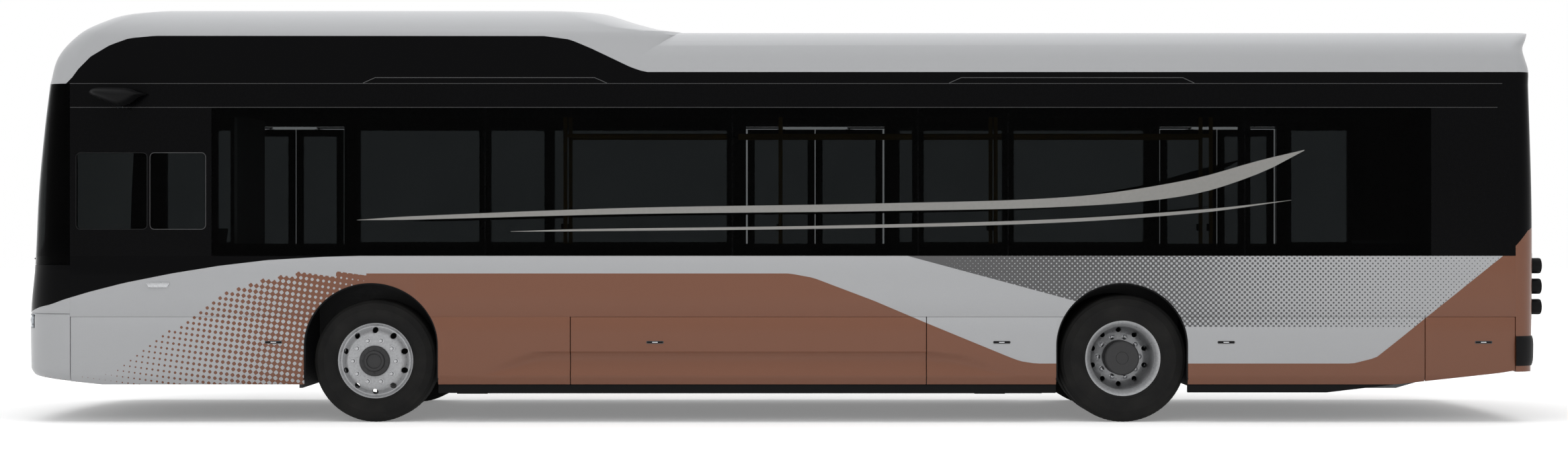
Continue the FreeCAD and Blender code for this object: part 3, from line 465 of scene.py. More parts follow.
def grid(rows, finish, closed=False, ring=False):
    """Skin from row to row of points. closed joins the last row to the first, ring each row's ends."""
    count = len(rows[0])
    faces = []
    for i in range(len(rows) if closed else len(rows) - 1):
        for j in range(count if ring else count - 1):
            a, b = i * count, (i + 1) % len(rows) * count
            faces.append((a + j, a + (j + 1) % count, b + (j + 1) % count, b + j))
    if ring and not closed:
        faces.append(tuple(reversed(range(count))))
        faces.append(tuple(range((len(rows) - 1) * count, len(rows) * count)))
    return put([point for row in rows for point in row], faces, finish)


def joined(name, pieces):
    """Several shapes as one mesh."""
    mesh = bpy.data.meshes.new(name)
    work = bmesh.new()
    slots = []
    for piece in pieces:
        for material in piece.data.materials:
            if material not in slots:
                slots.append(material)
        places = [slots.index(material) for material in piece.data.materials]
        first = len(work.faces)
        work.from_mesh(piece.data)
        work.faces.ensure_lookup_table()
        for face in work.faces[first:]:
            face.material_index = places[face.material_index]
    work.to_mesh(mesh)
    work.free()
    for material in slots:
        mesh.materials.append(material)
    for piece in pieces:
        bpy.data.objects.remove(piece)
    return placed(name, mesh)


def moved(piece, x, y, z, turn=0, axis="Z"):
    """Turns a piece about the origin and moves it."""
    if turn:
        piece.data.transform(Matrix.Rotation(turn, 4, axis))
    piece.data.transform(Matrix.Translation((x, y, z)))
    return piece


def mount(piece, body, slot, *nodes):
    """Lets a finished piece ride on a body, in the place of the nodes it stands for."""
    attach(piece, body)
    if nodes:
        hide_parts(*nodes)
    return piece


def fitted(slot, *nodes, body="bus_body"):
    """Joins what a function yields into one piece with the function's name, and mounts it."""
    def make(parts):
        return mount(joined(parts.__name__, list(parts())), body, slot, *nodes)
    return make


def fitted_twice(slot, node):
    """The same for the left and the right side. The left piece stands for the node of both."""
    def make(parts):
        for side in sides:
            whole = joined(parts.__name__ + "_" + side_names[side], list(parts(side)))
            mount(whole, "bus_body", slot, *([node] if side < 0 else []))
    return make


def across(side, first, second):
    """Two places across the bus on one side, the lower first."""
    return sorted((side * first, side * second))


def slab(low, high, finish):
    """Straight-sided block between two corners."""
    (x0, y0, z0), (x1, y1, z1) = low, high
    points = [(x, y, z) for z in (z0, z1) for x, y in ((x0, y0), (x1, y0), (x1, y1), (x0, y1))]
    faces = [(3, 2, 1, 0), (4, 5, 6, 7), (0, 1, 5, 4), (1, 2, 6, 5), (2, 3, 7, 6), (3, 0, 4, 7)]
    return put(points, faces, finish)


def rounded(u0, u1, v0, v1, radius):
    """Outline of a box with its corners rounded."""
    return rounded_line(((u0, v0), (u1, v0), (u1, v1), (u0, v1)), radius)


def rounded_line(corners, radius):
    """Outline of (u, v) corners with each corner rounded."""
    outline = []
    for index, corner in enumerate(corners):
        here = Vector(corner)
        back = (Vector(corners[index - 1]) - here).normalized()
        ahead = (Vector(corners[(index + 1) % len(corners)]) - here).normalized()
        half = back.angle(ahead) / 2
        middle = here + (back + ahead).normalized() * (radius / sin(half))
        start = here + back * (radius * cos(half) / sin(half)) - middle
        end = here + ahead * (radius * cos(half) / sin(half)) - middle
        turn = start.angle_signed(end)
        for angle in spread(0, -turn, round_steps):
            spoke = start.copy()
            spoke.rotate(Matrix.Rotation(angle, 2))
            outline.append(middle + spoke)
    return outline


def circle(radius, count, x=0, y=0):
    """Points of a circle round a middle."""
    return [(x + radius * cos(turn), y + radius * sin(turn)) for turn in turns(count)]


def plate(outline, axis, low, high, finish):
    """Flat outline drawn out along an axis: 0 for X, 1 for Y, 2 for Z."""
    rows = [[(u, v)[:axis] + (level,) + (u, v)[axis:] for u, v in outline] for level in (low, high)]
    return grid(rows, finish, ring=True)


def spun(profile, centre, finish, steps=96):
    """Closed (radius, offset) profile turned about an axle along Y."""
    rows = [[(centre[0] + radius * sin(turn), centre[1] + offset, centre[2] - radius * cos(turn))
             for radius, offset in profile] for turn in turns(steps)]
    return grid(rows, finish, closed=True, ring=True)


def bar(points, radius, finish, smooth=False):
    """Round bar along points, with caps, as a mesh."""
    curve = bpy.data.curves.new("bar", "CURVE")
    curve.dimensions = "3D"
    curve.bevel_depth = radius
    curve.bevel_resolution = 4
    curve.use_fill_caps = True
    spline = curve.splines.new("NURBS" if smooth else "POLY")
    spline.points.add(len(points) - 1)
    for point, place in zip(spline.points, points):
        point.co = (*place, 1.0)
    if smooth:
        spline.order_u = 3
        spline.use_endpoint_u = True
        spline.resolution_u = 6
    holder = placed("bar", curve)
    mesh = evaluated(holder)
    bpy.data.objects.remove(holder)
    mesh.materials.clear()
    mesh.materials.append(finishes[finish])
    return edged(placed("bar", mesh), 0)


def spread(low, high, count):
    """Places from low to high in even steps, both ends among them."""
    return [low + (high - low) * index / count for index in range(count + 1)]


def turns(count):
    """Angles all round in even steps."""
    return spread(0, 2 * pi, count)[:-1]


def eased(stations, reading):
    """Smooth line through stations."""
    if reading <= stations[0][0]:
        return stations[0][1]
    for index in range(len(stations) - 1):
        (x0, y0), (x1, y1) = stations[index], stations[index + 1]
        if reading <= x1:
            before = stations[max(index - 1, 0)]
            after = stations[min(index + 2, len(stations) - 1)]
            slope0 = (y1 - before[1]) / (x1 - before[0])
            slope1 = (after[1] - y0) / (after[0] - x0)
            t = (reading - x0) / (x1 - x0)
            span = x1 - x0
            return ((2 * t ** 3 - 3 * t ** 2 + 1) * y0 + (t ** 3 - 2 * t ** 2 + t) * slope0 * span
                    + (3 * t ** 2 - 2 * t ** 3) * y1 + (t ** 3 - t ** 2) * slope1 * span)
    return stations[-1][1]


def plain_line(points, reading):
    """Height of a line of straight stretches."""
    if reading <= points[0][0]:
        return points[0][1]
    for (x0, y0), (x1, y1) in zip(points, points[1:]):
        if reading <= x1:
            return y0 + (y1 - y0) * (reading - x0) / (x1 - x0)
    return points[-1][1]


def laid_out(name, unit, inputs, layout, finish):
    """Sets a copy of a unit on each point of a layout by a node tree, and takes the result into its mesh."""
    tree = bpy.data.node_groups.new(name, "GeometryNodeTree")
    tree.interface.new_socket("Geometry", in_out="INPUT", socket_type="NodeSocketGeometry")
    for label, (kind, value) in inputs.items():
        tree.interface.new_socket(label, in_out="INPUT", socket_type="NodeSocket" + kind)
    tree.interface.new_socket("Geometry", in_out="OUTPUT", socket_type="NodeSocketGeometry")
    start = add(tree, "NodeGroupInput")
    copies = add(tree, "GeometryNodeInstanceOnPoints", {"Instance": start.outputs["Geometry"],
                                                        **layout(tree, start.outputs)})
    real = add(tree, "GeometryNodeRealizeInstances", {"Geometry": copies.outputs["Instances"]})
    painted = add(tree, "GeometryNodeSetMaterial", {"Geometry": real.outputs["Geometry"],
                                                    "Material": finishes[finish]})
    add(tree, "NodeGroupOutput", {"Geometry": painted.outputs["Geometry"]})
    modifier = unit.modifiers.new("layout", "NODES")
    modifier.node_group = tree
    for item in tree.interface.items_tree:
        if item.in_out == "INPUT" and item.name in inputs:
            modifier[item.identifier] = inputs[item.name][1]
    unit.name = name
    settled(unit)
    bpy.data.node_groups.remove(tree)
    return unit


def repeated(name, unit, count, first, step, finish):
    """A row of like pieces: count of them from first, one step apart."""
    def layout(tree, given):
        line = add(tree, "GeometryNodeMeshLine", {"Count": given["Count"], "Start Location": given["First"],
                                                  "Offset": given["Step"]})
        return {"Points": line.outputs["Mesh"]}
    inputs = {"Count": ("Int", count), "First": ("Vector", first), "Step": ("Vector", step)}
    return laid_out(name, unit, inputs, layout, finish)


def ringed(unit, count, finish, start_turn=0.0):
    """Like pieces set round an axle along Y, each turned to face out."""
    def layout(tree, given):
        line = add(tree, "GeometryNodeMeshLine", {"Count": given["Count"], "Offset": (0, 0, 0)})
        index = add(tree, "GeometryNodeInputIndex")
        pitch = add(tree, "ShaderNodeMath", {0: 2 * pi, 1: given["Count"]}, operation="DIVIDE")
        turn = add(tree, "ShaderNodeMath", {0: index.outputs["Index"], 1: pitch.outputs[0],
                                            2: given["Start turn"]}, operation="MULTIPLY_ADD")
        angle = add(tree, "ShaderNodeCombineXYZ", {"Y": turn.outputs[0]})
        return {"Points": line.outputs["Mesh"], "Rotation": angle.outputs[0]}
    inputs = {"Count": ("Int", count), "Start turn": ("Float", start_turn)}
    return laid_out("ring", unit, inputs, layout, finish)


# Ends of the body

def crown(radius, turn):
    return radius + (half_width - radius) * (1 - cos(turn)) / sin(turn)


nose_root_x = front_x + crown(nose_radius, nose_turn)
tail_root_x = rear_x - tail_setback - crown(tail_radius, tail_turn)
nose = (nose_root_x, -1, nose_radius, nose_turn, nose_shares)
tail = (tail_root_x, 1, tail_radius, tail_turn, tail_shares)


def end_line(root_x, facing, radius, turn, inset, level):
    """Plan outline of an end from its left root to its right one."""
    corner = radius - inset
    corner_y = half_width - radius
    bow = corner + corner_y / sin(turn)
    bow_x = root_x - facing * (bow - corner) * cos(turn)
    left = [Vector((root_x + facing * corner * cos(a), -corner_y - corner * sin(a), level))
            for a in spread(pi / 2, turn, corner_steps)[:-1]]
    middle = [Vector((bow_x + facing * bow * cos(a), -bow * sin(a), level))
              for a in spread(turn, -turn, bow_steps)]
    return left + middle + [Vector((p.x, -p.y, p.z)) for p in reversed(left)]


def end_ring(end, level, inset):
    root_x, facing, radius, turn, shares = end
    share = eased(shares, (level - skirt_bottom) / (roof_seam - skirt_bottom))
    return end_line(root_x, facing, radius * share, turn, inset, level)


def end_shell(end, low, high, outer, inner, finish, rows=12, form=None):
    """Wall that follows an end between two insets. form gives an extra inset by height."""
    rings = []
    for level in spread(low, high, rows):
        extra = form(level) if form else 0
        rings.append(end_ring(end, level, outer + extra) + end_ring(end, level, inner)[::-1])
    return grid(rings, finish, ring=True)


def end_band(end, y0, y1, level, inset, count=12):
    """Points on an end's face between two places across the bus."""
    ring = end_ring(end, level, inset)
    found = []
    for y in spread(y0, y1, count):
        for a, b in zip(ring, ring[1:]):
            if a.y <= y <= b.y and b.y > a.y:
                found.append(a.lerp(b, (y - a.y) / (b.y - a.y)))
                break
    return found


def end_point(end, y, level, inset=0):
    """Place along the bus of one point of an end's face."""
    return end_band(end, y - 0.001, y + 0.001, level, inset, 1)[0].x


def end_patch(end, y0, y1, low, high, outer, inner, finish, rows=8, count=16):
    """Panel on an end's face between two places across the bus and two heights."""
    rings = [end_band(end, y0, y1, level, outer, count) + end_band(end, y0, y1, level, inner, count)[::-1]
             for level in spread(low, high, rows)]
    return grid(rings, finish, ring=True)


# Camera and room

camera_distance = 18.0
sensor_width = 36.0
camera = placed("camera", bpy.data.cameras.new("camera"))
camera.data.sensor_width = sensor_width
camera.data.lens = sensor_width * camera_distance / (picture_width * picture_step)
camera.data.clip_end = 200
camera.location = (aim_x, -half_width - camera_distance, aim_z)
camera.rotation_euler = (pi / 2, 0, 0)
bpy.context.scene.camera = camera
bpy.context.scene.view_settings.view_transform = "Standard"


def seen_directly(tree):
    """1 for rays from the camera, in reflections and through glass, and 0 for light on the object."""
    path = tree.nodes.new("ShaderNodeLightPath")
    share = Signal(tree, path.outputs["Is Camera Ray"])
    share = share.either(Signal(tree, path.outputs["Is Glossy Ray"]))
    return share.either(Signal(tree, path.outputs["Is Transmission Ray"]))


world = bpy.data.worlds.new("room")
bpy.context.scene.world = world
world.use_nodes = True
room_light = world.node_tree.nodes["Background"]
room_light.inputs["Color"].default_value = (1, 1, 1, 1)
feed(world.node_tree, seen_directly(world.node_tree).ramp(0, 1, 0.62, 1.0), room_light.inputs["Strength"])


def studio_floor():
    """Pale floor that glows a little where it is seen, and less close to the bus."""
    finish = Finish("studio_floor", specular_ior_level=0.0, emission_color=(1, 1, 1, 1))
    colour = finish.mixed(finish.grain(0.8).ramp(0.3, 0.7), (0.86, 0.86, 0.86, 1), (0.89, 0.89, 0.89, 1))
    x, y, z = finish.place()
    spread_out = (x * x + y * y * 3.0).math("SQRT")
    finish.drive("Emission Strength", seen_directly(finish.tree) * spread_out.ramp(9.0, 22.0, 0.22, 0.8))
    return finish.made(colour, 0.9)


finishes["studio_floor"] = studio_floor()
reach = 70
floor = put([(-reach, -reach, 0), (reach, -reach, 0), (reach, reach, 0), (-reach, reach, 0)], [(0, 1, 2, 3)],
            "studio_floor")
floor.name = "floor"


def lamp(name, place, aim, size, power):
    data = bpy.data.lights.new(name, "AREA")
    data.shape = "RECTANGLE"
    data.size, data.size_y = size
    data.energy = power
    light = placed(name, data)
    light.location = place
    light.rotation_euler = (Vector(aim) - Vector(place)).to_track_quat("-Z", "Y").to_euler()
    light.visible_glossy = False


lamp("overhead", (0, -1.0, 11.0), (0, 0, 0), (22, 12), 1500)
lamp("near_side", (-3.0, -16.0, 9.0), (0, 0, 1.4), (16, 7), 420)
lamp("far_side", (2.0, 16.0, 9.0), (0, 0, 1.4), (16, 7), 420)


# Roof

roof_nose_run = 0.8
roof_corner = 0.21
hump_end_x = -1.79
ramp_corner = 0.38
rear_lip_share = 0.25
hump_shares = ((0, 0), (0.39, 0.09), (0.7, 0.31), (0.87, 0.55), (0.95, 0.72), (1, 1))
# share of the way down from the hump, run back from the hump's end
ramp_line = ((0, -0.19), (0.03, 0), (0.25, 0.14), (0.47, 0.25), (0.75, 0.42), (0.9, 0.54), (1, 0.7))
# height, how far the rear of the low roof is drawn in
tail_hollow = ((2.651, 0), (2.76, 0), (2.86, 0.03), (2.93, 0.045), (3, 0.02), (3.062, 0))
# run along the bus and roof height of each cover
cover_spans = ((-4.6, -3.4, hump_roof), (-3.2, -2, hump_roof), (-0.2, 1.4, low_roof), (1.7, 3.3, low_roof),
               (3.6, 5, low_roof))
cover_half = 0.78
cover_rise = 0.004


def roof_ring(level, top, rear_root, tail_corner, lip_share):
    """Plan outline of the roof at a level, drawn in where its long edges round off."""
    over = max(0, level - top + roof_corner)
    inset = roof_corner - sqrt(max(0, roof_corner ** 2 - over ** 2))
    front_run = roof_nose_run * eased(hump_shares, (level - roof_seam) / (hump_roof - roof_seam))
    corner = nose_radius * nose_shares[-1][1]
    front = end_line(nose_root_x + front_run, -1, corner + inset, nose_turn, inset, level)
    rear = end_line(rear_root + inset * lip_share, 1, tail_corner + inset, tail_turn, inset, level)
    return front + rear[::-1]


def roof_levels(top, count):
    """Heights that crowd together towards the top, where the edge rounds off."""
    return [roof_seam + (top - roof_seam) * sin(pi / 2 * index / count) for index in range(count + 1)]


def ramp_root(level):
    return hump_end_x + eased(ramp_line, min(1.0, (hump_roof - level) / (hump_roof - low_roof)))


@fitted("paint_silver", "roof_shell")
def roof_skin():
    tail_corner = tail_radius * tail_shares[-1][1]
    hump = [roof_ring(level, hump_roof, ramp_root(level), ramp_corner, 0)
            for level in roof_levels(hump_roof, 26)]
    low = [roof_ring(level, low_roof, tail_root_x - eased(tail_hollow, level), tail_corner, rear_lip_share)
           for level in roof_levels(low_roof, 20)]
    whole = grid(low, "livery", ring=True)
    yield edged(carve(whole, [grid(hump, "livery", ring=True)], "UNION"), 0, angle=32)


@fitted("paint_silver")
def roof_covers():
    """Low covers over the roof units."""
    for x0, x1, top in cover_spans:
        outline = rounded(x0, x1, -cover_half, cover_half, 0.08)
        yield edged(plate(outline, 2, top - cover_rise, top + cover_rise, "livery"))


# Nose

# place along the bus, rise of the body's bottom edge
front_rise = ((-6.02, 0.085), (-5.9, 0.066), (-5.3, 0))
rear_rise = ((4.6, 0), (4.83, 0), (5.046, 0.026), (5.624, 0.09), (5.75, 0.11))
bottom_fade = 0.16
side_fade = 0.15
tuck_top = 0.4
tuck_run = 0.1
seam_roll = 0.023
screen_step = 0.0085
screen_thickness = 0.008
screen_half = 1.185
screen_inset = 0.09
# height of the lamp pocket, the lamp in it and the run of both across the bus
pocket_low, pocket_high = 0.735, 0.845
lamp_low, lamp_high = 0.737, 0.843
pocket_near, pocket_far = 0.62, 1.12
lamp_near, lamp_far = 0.622, 1.118
lens_height = 0.792
plate_half = 0.26
plate_rise = 0.055
plate_rim = 0.008


def end_rise(x):
    return plain_line(front_rise, x) + plain_line(rear_rise, x)


@fitted("paint_silver", "front_bumper")
def bumper_skin():
    """Bumper that draws in towards its bottom edge, which rises to the front."""
    def form(level):
        tuck = max(0.0, tuck_top - level) / tuck_run
        return skin * tuck ** 2 + gap * max(0.0, (level - flap_seam) / seam_roll)

    shell = end_shell(nose, skirt_bottom, bumper_top - 0.002, 0, wall, "livery", 24, form)
    for vertex in shell.data.vertices:
        fade = max(0.0, 1 - (vertex.co.z - skirt_bottom) / bottom_fade)
        vertex.co.z += plain_line(front_rise, vertex.co.x) * fade
    pockets = [across(side, pocket_near, pocket_far) for side in sides]
    cutters = [slab((front_x - overcut, y0, pocket_low), (nose_root_x, y1, pocket_high), "trim")
               for y0, y1 in pockets]
    yield edged(carve(shell, cutters), 0.003, angle=40)


@fitted("paint_black", "front_mask")
def mask_skin():
    """Silver face over the bumper and the black surround of the screen."""
    seam = mask_top - 0.003
    lower = end_shell(nose, bumper_top, seam, 0, wall, "livery", 10)
    upper = end_shell(nose, seam, roof_seam, screen_step, wall, "black_gloss", 16)
    outline = rounded(-screen_half, screen_half, mask_top + screen_inset, roof_seam - screen_inset, 0.12)
    opening = plate(outline, 0, front_x - overcut, nose_root_x - 0.09, "trim")
    yield edged(lower, 0.002, angle=40)
    yield edged(carve(upper, [opening]), 0.001, angle=40)


@fitted("glass_clear", "windscreen")
def windscreen_pane():
    pane = end_shell(nose, mask_top, roof_seam - 0.002, 0, screen_thickness, "screen_glass", 18)
    yield edged(pane, 0.001, angle=40)


@fitted_twice("lamp_glass", "headlamps")
def headlamp(side):
    """Slim lamp unit: dark housing, three lenses with bright rims, a light strip and a clear cover."""
    y0, y1 = across(side, lamp_near, lamp_far)
    profile = [(0, 0), (0.034, 0), (0.04, -0.004), (0.04, 0.03), (0.03, 0.03), (0.026, 0.012), (0, 0.016)]
    yield edged(end_patch(nose, y0, y1, lamp_low, lamp_high, 0.035, 0.058, "trim"))
    for index in range(3):
        y = side * (0.7 + 0.13 * index)
        x = end_point(nose, y, 0.8, 0.012)
        lens = spun(profile, (0, 0, 0), "bright", 32)
        yield edged(moved(lens, x, y, lens_height, -pi / 2), 0, angle=35)
    yield edged(end_patch(nose, y0 + 0.02, y1 - 0.02, 0.744, 0.752, 0.012, 0.034, "bright"), 0.001)
    yield edged(end_patch(nose, y0, y1, lamp_low, lamp_high, 0, 0.004, "lamp_glass"), 0.0008)


def blank_plate(end, z):
    """Number plate with nothing on it, in a dark rim."""
    for grow, outer, inner, finish in ((0, -0.006, -0.0005, "plate"), (plate_rim, -0.004, -0.0003, "trim")):
        half, rise = plate_half + grow, plate_rise + grow
        yield edged(end_patch(end, -half, half, z - rise, z + rise, outer, inner, finish, 2, 6), 0.001)


@fitted("plastic_grey")
def front_plate():
    return blank_plate(nose, 0.56)


@fitted_twice("plastic_black", "wipers")
def wiper(side):
    """Blade along the bottom of the screen on a slim arm from its pivot."""
    line = end_band(nose, *across(side, 0.08, 0.94), mask_top + 0.044, -0.012, 10)
    blade = [p + Vector((0, 0, 0.004 * index)) for index, p in enumerate(line)]
    arm = [blade[5] + Vector((-0.004, 0, 0.008)), blade[8] + Vector((-0.004, 0, -0.008))]
    yield bar(blade, 0.006, "rubber", True)
    yield bar(arm, 0.005, "trim")
    yield bar([arm[1] + Vector((reach, 0, 0)) for reach in (0.006, -0.003)], 0.012, "trim")


# Tail

# half width, bottom, top, corner of each opening in the tail
rear_window = (0.945, 1.595, 2.375, 0.12)
hatch_opening = (0.786, 0.714, 1.4203, 0.02)
hatch_form = (0.78, 0.72, 1.4165, 0.02)
hatch_shell_top = 1.419
lamp_y = 1.01


def tail_block(half, low, high, radius):
    """Block through the tail wall, for an opening or a panel in it."""
    return plate(rounded(-half, half, low, high, radius), 0, tail_root_x + 0.06, rear_x + overcut, "trim")


@fitted("paint_black", "rear_wall")
def tail_skin():
    shell = end_shell(tail, 0.4, roof_seam, 0, wall, "livery", 30)
    yield edged(carve(shell, [tail_block(*rear_window), tail_block(*hatch_opening)]), 0.002, angle=40)


@fitted("paint_black", "rear_hatch", body="rear_hatch")
def hatch_panel():
    """Rear hatch with a handle."""
    shell = end_shell(tail, hatch_form[1], hatch_shell_top, 0, wall - 0.02, "livery", 20)
    yield edged(carve(shell, [tail_block(*hatch_form)], "INTERSECT"), 0.002, angle=40)
    yield edged(end_patch(tail, -0.09, 0.09, 0.8, 0.825, -0.012, 0, "trim", 2, 6), 0.003)


def hatch_slats():
    """Slats over the hatch's air intake, on the hatch."""
    middle = end_point(tail, 0, 1.0)
    slat = edged(slab((middle - 0.012, -0.62, -0.006), (middle + 0.006, 0.62, 0.006), "trim"), 0.003)
    return repeated("hatch_slats", slat, 11, (0, 0, 1.02), (0, 0, 0.03), "trim")


mount(hatch_slats(), "rear_hatch", "plastic_black")


@fitted("plastic_black", "rear_bumper")
def tail_bumper():
    shell = end_shell(tail, 0.446, 0.678, -0.018, -0.0003, "trim", 10,
                      lambda level: 0.012 * ((level - 0.562) / 0.116) ** 4)
    yield edged(shell, 0.002, angle=40)


@fitted("plastic_grey")
def rear_plate():
    return blank_plate(tail, 1.5)


@fitted("lamp_red", "rear_lamps")
def tail_lamp_set():
    """Three round lamps a side, each a dark barrel with a lens, on a dark carrier."""
    for side in sides:
        y0, y1 = across(side, 0.925, 1.095)
        yield edged(end_patch(tail, y0, y1, 0.8, 1.325, -0.012, -0.0003, "trim", 10, 8), 0.003)
        for height, colour in ((0.9, "red_lens"), (1.062, "amber_lens"), (1.224, "red_lens")):
            base = end_point(tail, side * lamp_y, height)
            reach = rear_x - base
            barrel = [(0, -0.01), (0.056, -0.01), (0.061, 0), (0.062, reach - 0.012), (0.06, reach - 0.002),
                      (0.054, reach), (0.052, reach - 0.006), (0, reach - 0.006)]
            lens = [(0, reach - 0.0055), (0.051, reach - 0.0055), (0.051, reach - 0.002),
                    (0.03, reach - 0.0005), (0, reach)]
            for profile, finish in ((barrel, "trim"), (lens, colour)):
                part = spun(profile, (0, 0, 0), finish, 48)
                yield edged(moved(part, base, side * lamp_y, height, -pi / 2), 0, angle=35)


# Sides

scoop_line = drawn([(640, 572), (690, 570), (745, 545), (802, 523), (1378, 523), (1430, 530), (1490, 553),
                    (1545, 571), (1600, 572)])
skirt_stations = (0.3, 0.32, 0.345, 0.366, 0.378, 0.395, 0.415, 0.44, 0.465, 0.49, 0.515, 0.535, 0.55, 0.557,
                  0.565, 0.6, 0.7, 0.83, 1.0, 1.15, 1.305)
fold_top = 0.366
fold_depth = 0.02
scoop_depth = 0.023
scoop_reach = 0.19
scoop_share = 0.6
sheet_step = 0.06
station_gap = 0.004
lip_radius = 0.011
pillar_x = -1.638
leaf_trim = 0.016
leaf_slack = 0.005
# middle along the bus, width of a leaf
doors = ((-4.31, 0.42), (0.312, 0.595), (3.89, 0.5))
door_spans = [(middle - leaf - leaf_trim - leaf_slack, middle + leaf + leaf_trim + leaf_slack)
              for middle, leaf in doors]


def skin_depth(x, z):
    """How far the lower side is drawn in: a sill fold all along and a long scoop between the axles."""
    depth = 0.0
    if z < fold_top:
        depth += fold_depth * (fold_top - z) / (fold_top - skirt_bottom)
    crease = plain_line(scoop_line, x)
    if front_axle_x < x < rear_axle_x and fold_top < z < crease:
        share = (crease - z) / (crease - fold_top)
        depth += scoop_depth * min(1.0, (crease - fold_top) / scoop_reach) * sin(pi * share ** scoop_share)
    return depth


def side_sheet(side, x0, x1, low, high, depth):
    """Panel of the side whose outer face follows the body's form, in steps along the bus."""
    count = max(2, int((x1 - x0) / sheet_step))
    stations = sorted([low, high] + [level for level in skirt_stations
                                     if low + station_gap < level < high - station_gap])
    rows = []
    for x in spread(x0, x1, count):
        levels = stations
        if low < tuck_top:
            levels = [level + end_rise(x) * max(0.0, 1 - (level - low) / side_fade) for level in stations]
        rows.append([(x, side * (half_width - skin_depth(x, level)), level) for level in levels]
                    + [(x, side * (half_width - depth), level) for level in reversed(levels)])
    return grid(rows, "livery", ring=True)


def arch_points(middle, half, rise):
    return [(middle + half * cos(turn), arch_base + rise * sin(turn)) for turn in spread(0, pi, arch_steps)]


def arched(piece, side):
    """Cuts both wheel arches out of a side's panel and eases its edges."""
    y0, y1 = across(side, half_width + 0.05, half_width - wall - 0.05)
    cutters = [plate([(middle - half, 0.1), (middle + half, 0.1)] + arch_points(middle, half, arch_rise),
                     1, y0, y1, "trim") for middle, half in arch_halves]
    return edged(carve(piece, cutters), 0.0025, angle=40)


def seam_reach(half):
    return half * sqrt(1 - ((flap_seam - arch_base) / arch_rise) ** 2)


flap_spans = ((nose_root_x + gap, front_arch - seam_reach(front_arch_half)), (-1.632, 1.145),
              (1.151, rear_arch - seam_reach(rear_arch_half)), (rear_arch + seam_reach(rear_arch_half), 5.04),
              (5.046, tail_root_x - gap))
plain_flaps = (1, 4)


@fitted("paint_silver", "side_panels_left")
def side_skin_left():
    """Belt panel, the fixed piece of skirt behind the front wheel and the wall behind the flaps."""
    pieces = [side_sheet(-1, nose_root_x, tail_root_x, flap_seam, belt_line, wall),
              side_sheet(-1, front_arch, pillar_x, skirt_bottom, flap_seam, wall)]
    for x0, x1 in ((nose_root_x, front_arch), (pillar_x, tail_root_x)):
        pieces.append(slab((x0, -half_width + skin + gap, 0.42), (x1, -half_width + wall, flap_seam),
                           "trim"))
    return [arched(piece, -1) for piece in pieces]


@fitted("paint_silver", "side_panels_right")
def side_skin_right():
    """Door side's skirt and belt between the doors, with the door sills."""
    ends = [nose_root_x] + [x for span in door_spans for x in span] + [tail_root_x]
    for x0, x1 in zip(ends[::2], ends[1::2]):
        lower = side_sheet(1, x0, x1, skirt_bottom, flap_seam - 0.001, wall)
        upper = side_sheet(1, x0, x1, flap_seam + 0.001, belt_line, wall)
        yield arched(lower, 1)
        yield arched(upper, 1)
    for low, high in door_spans:
        yield edged(slab((low + 0.0003, half_width - wall, skirt_bottom),
                         (high - 0.0003, half_width, floor_top), "trim"), 0.003)
        yield edged(slab((low + 0.004, half_width - skin, floor_top),
                         (high - 0.004, half_width, floor_top + 0.003), "rail"), 0.001)


for index, (x0, x1) in enumerate(flap_spans):
    name = "skirt_flap_" + str(index + 1)
    flap = side_sheet(-1, x0, x1, skirt_bottom, flap_seam - 0.002, skin)
    flap = edged(flap, 0.0025, angle=40) if index in plain_flaps else arched(flap, -1)
    flap.name = "flap_skin_" + str(index + 1)
    mount(flap, name, "paint_silver", name)


def latch(x, z):
    """Flush quarter-turn catch in a slot."""
    y = -half_width + skin_depth(x, z)
    for half, rise, radius, stand, sink, finish, ease in (
            (0.068, 0.011, 0.009, 0.0018, 0.006, "seam", 0.0006),
            (0.062, 0.006, 0.005, 0.0026, 0.004, "rubber", 0.0004),
            (0.022, 0.0042, 0.0035, 0.0034, 0.004, "bright", 0.0006)):
        outline = rounded(x - half, x + half, z - rise, z + rise, radius)
        yield edged(plate(outline, 1, y - stand, y + sink, finish), ease)


for number, column in enumerate((406.8, 974.5, 1490.6, 1824.5, 2207.4), 1):
    catch = joined("flap_latch_" + str(number), list(latch(picture_x(column), picture_z(509))))
    mount(catch, "skirt_flap_" + str(number), "steel_dark")


@fitted("plastic_black")
def arch_lips():
    """Dark rubber lip round each arch, behind the panel's edge."""
    for side in sides:
        for middle, half in arch_halves:
            line = arch_points(middle, half - 0.001, arch_rise - 0.001)
            line = [(line[0][0], floor_top)] + line + [(line[-1][0], floor_top)]
            yield bar([(x, side * (half_width - 0.016), z) for x, z in line], lip_radius, "rubber")


@fitted("plastic_black", "side_sills")
def sill_rails():
    """Black rails under the skirts, with short deeper shoes and a tail that rises behind the rear wheels."""
    start = rear_arch + rear_arch_half
    outline = [(start, 0.236), (4.28, 0.236), (4.81, skirt_bottom - 0.002), (start, skirt_bottom - 0.002)]
    for side in sides:
        y0, y1 = across(side, half_width - skin, half_width - wall)
        yield edged(slab((front_arch + front_arch_half, y0, sill_bottom),
                         (rear_arch - rear_arch_half, y1, skirt_bottom), "trim"), 0.004)
        yield edged(plate(outline, 1, y0, y1, "trim"), 0.004)
        for x in (picture_x(702), picture_x(1473)):
            yield edged(slab((x - 0.12, y0 - 0.002, sill_bottom - 0.006), (x + 0.12, y1, 0.25), "trim"),
                        0.003)


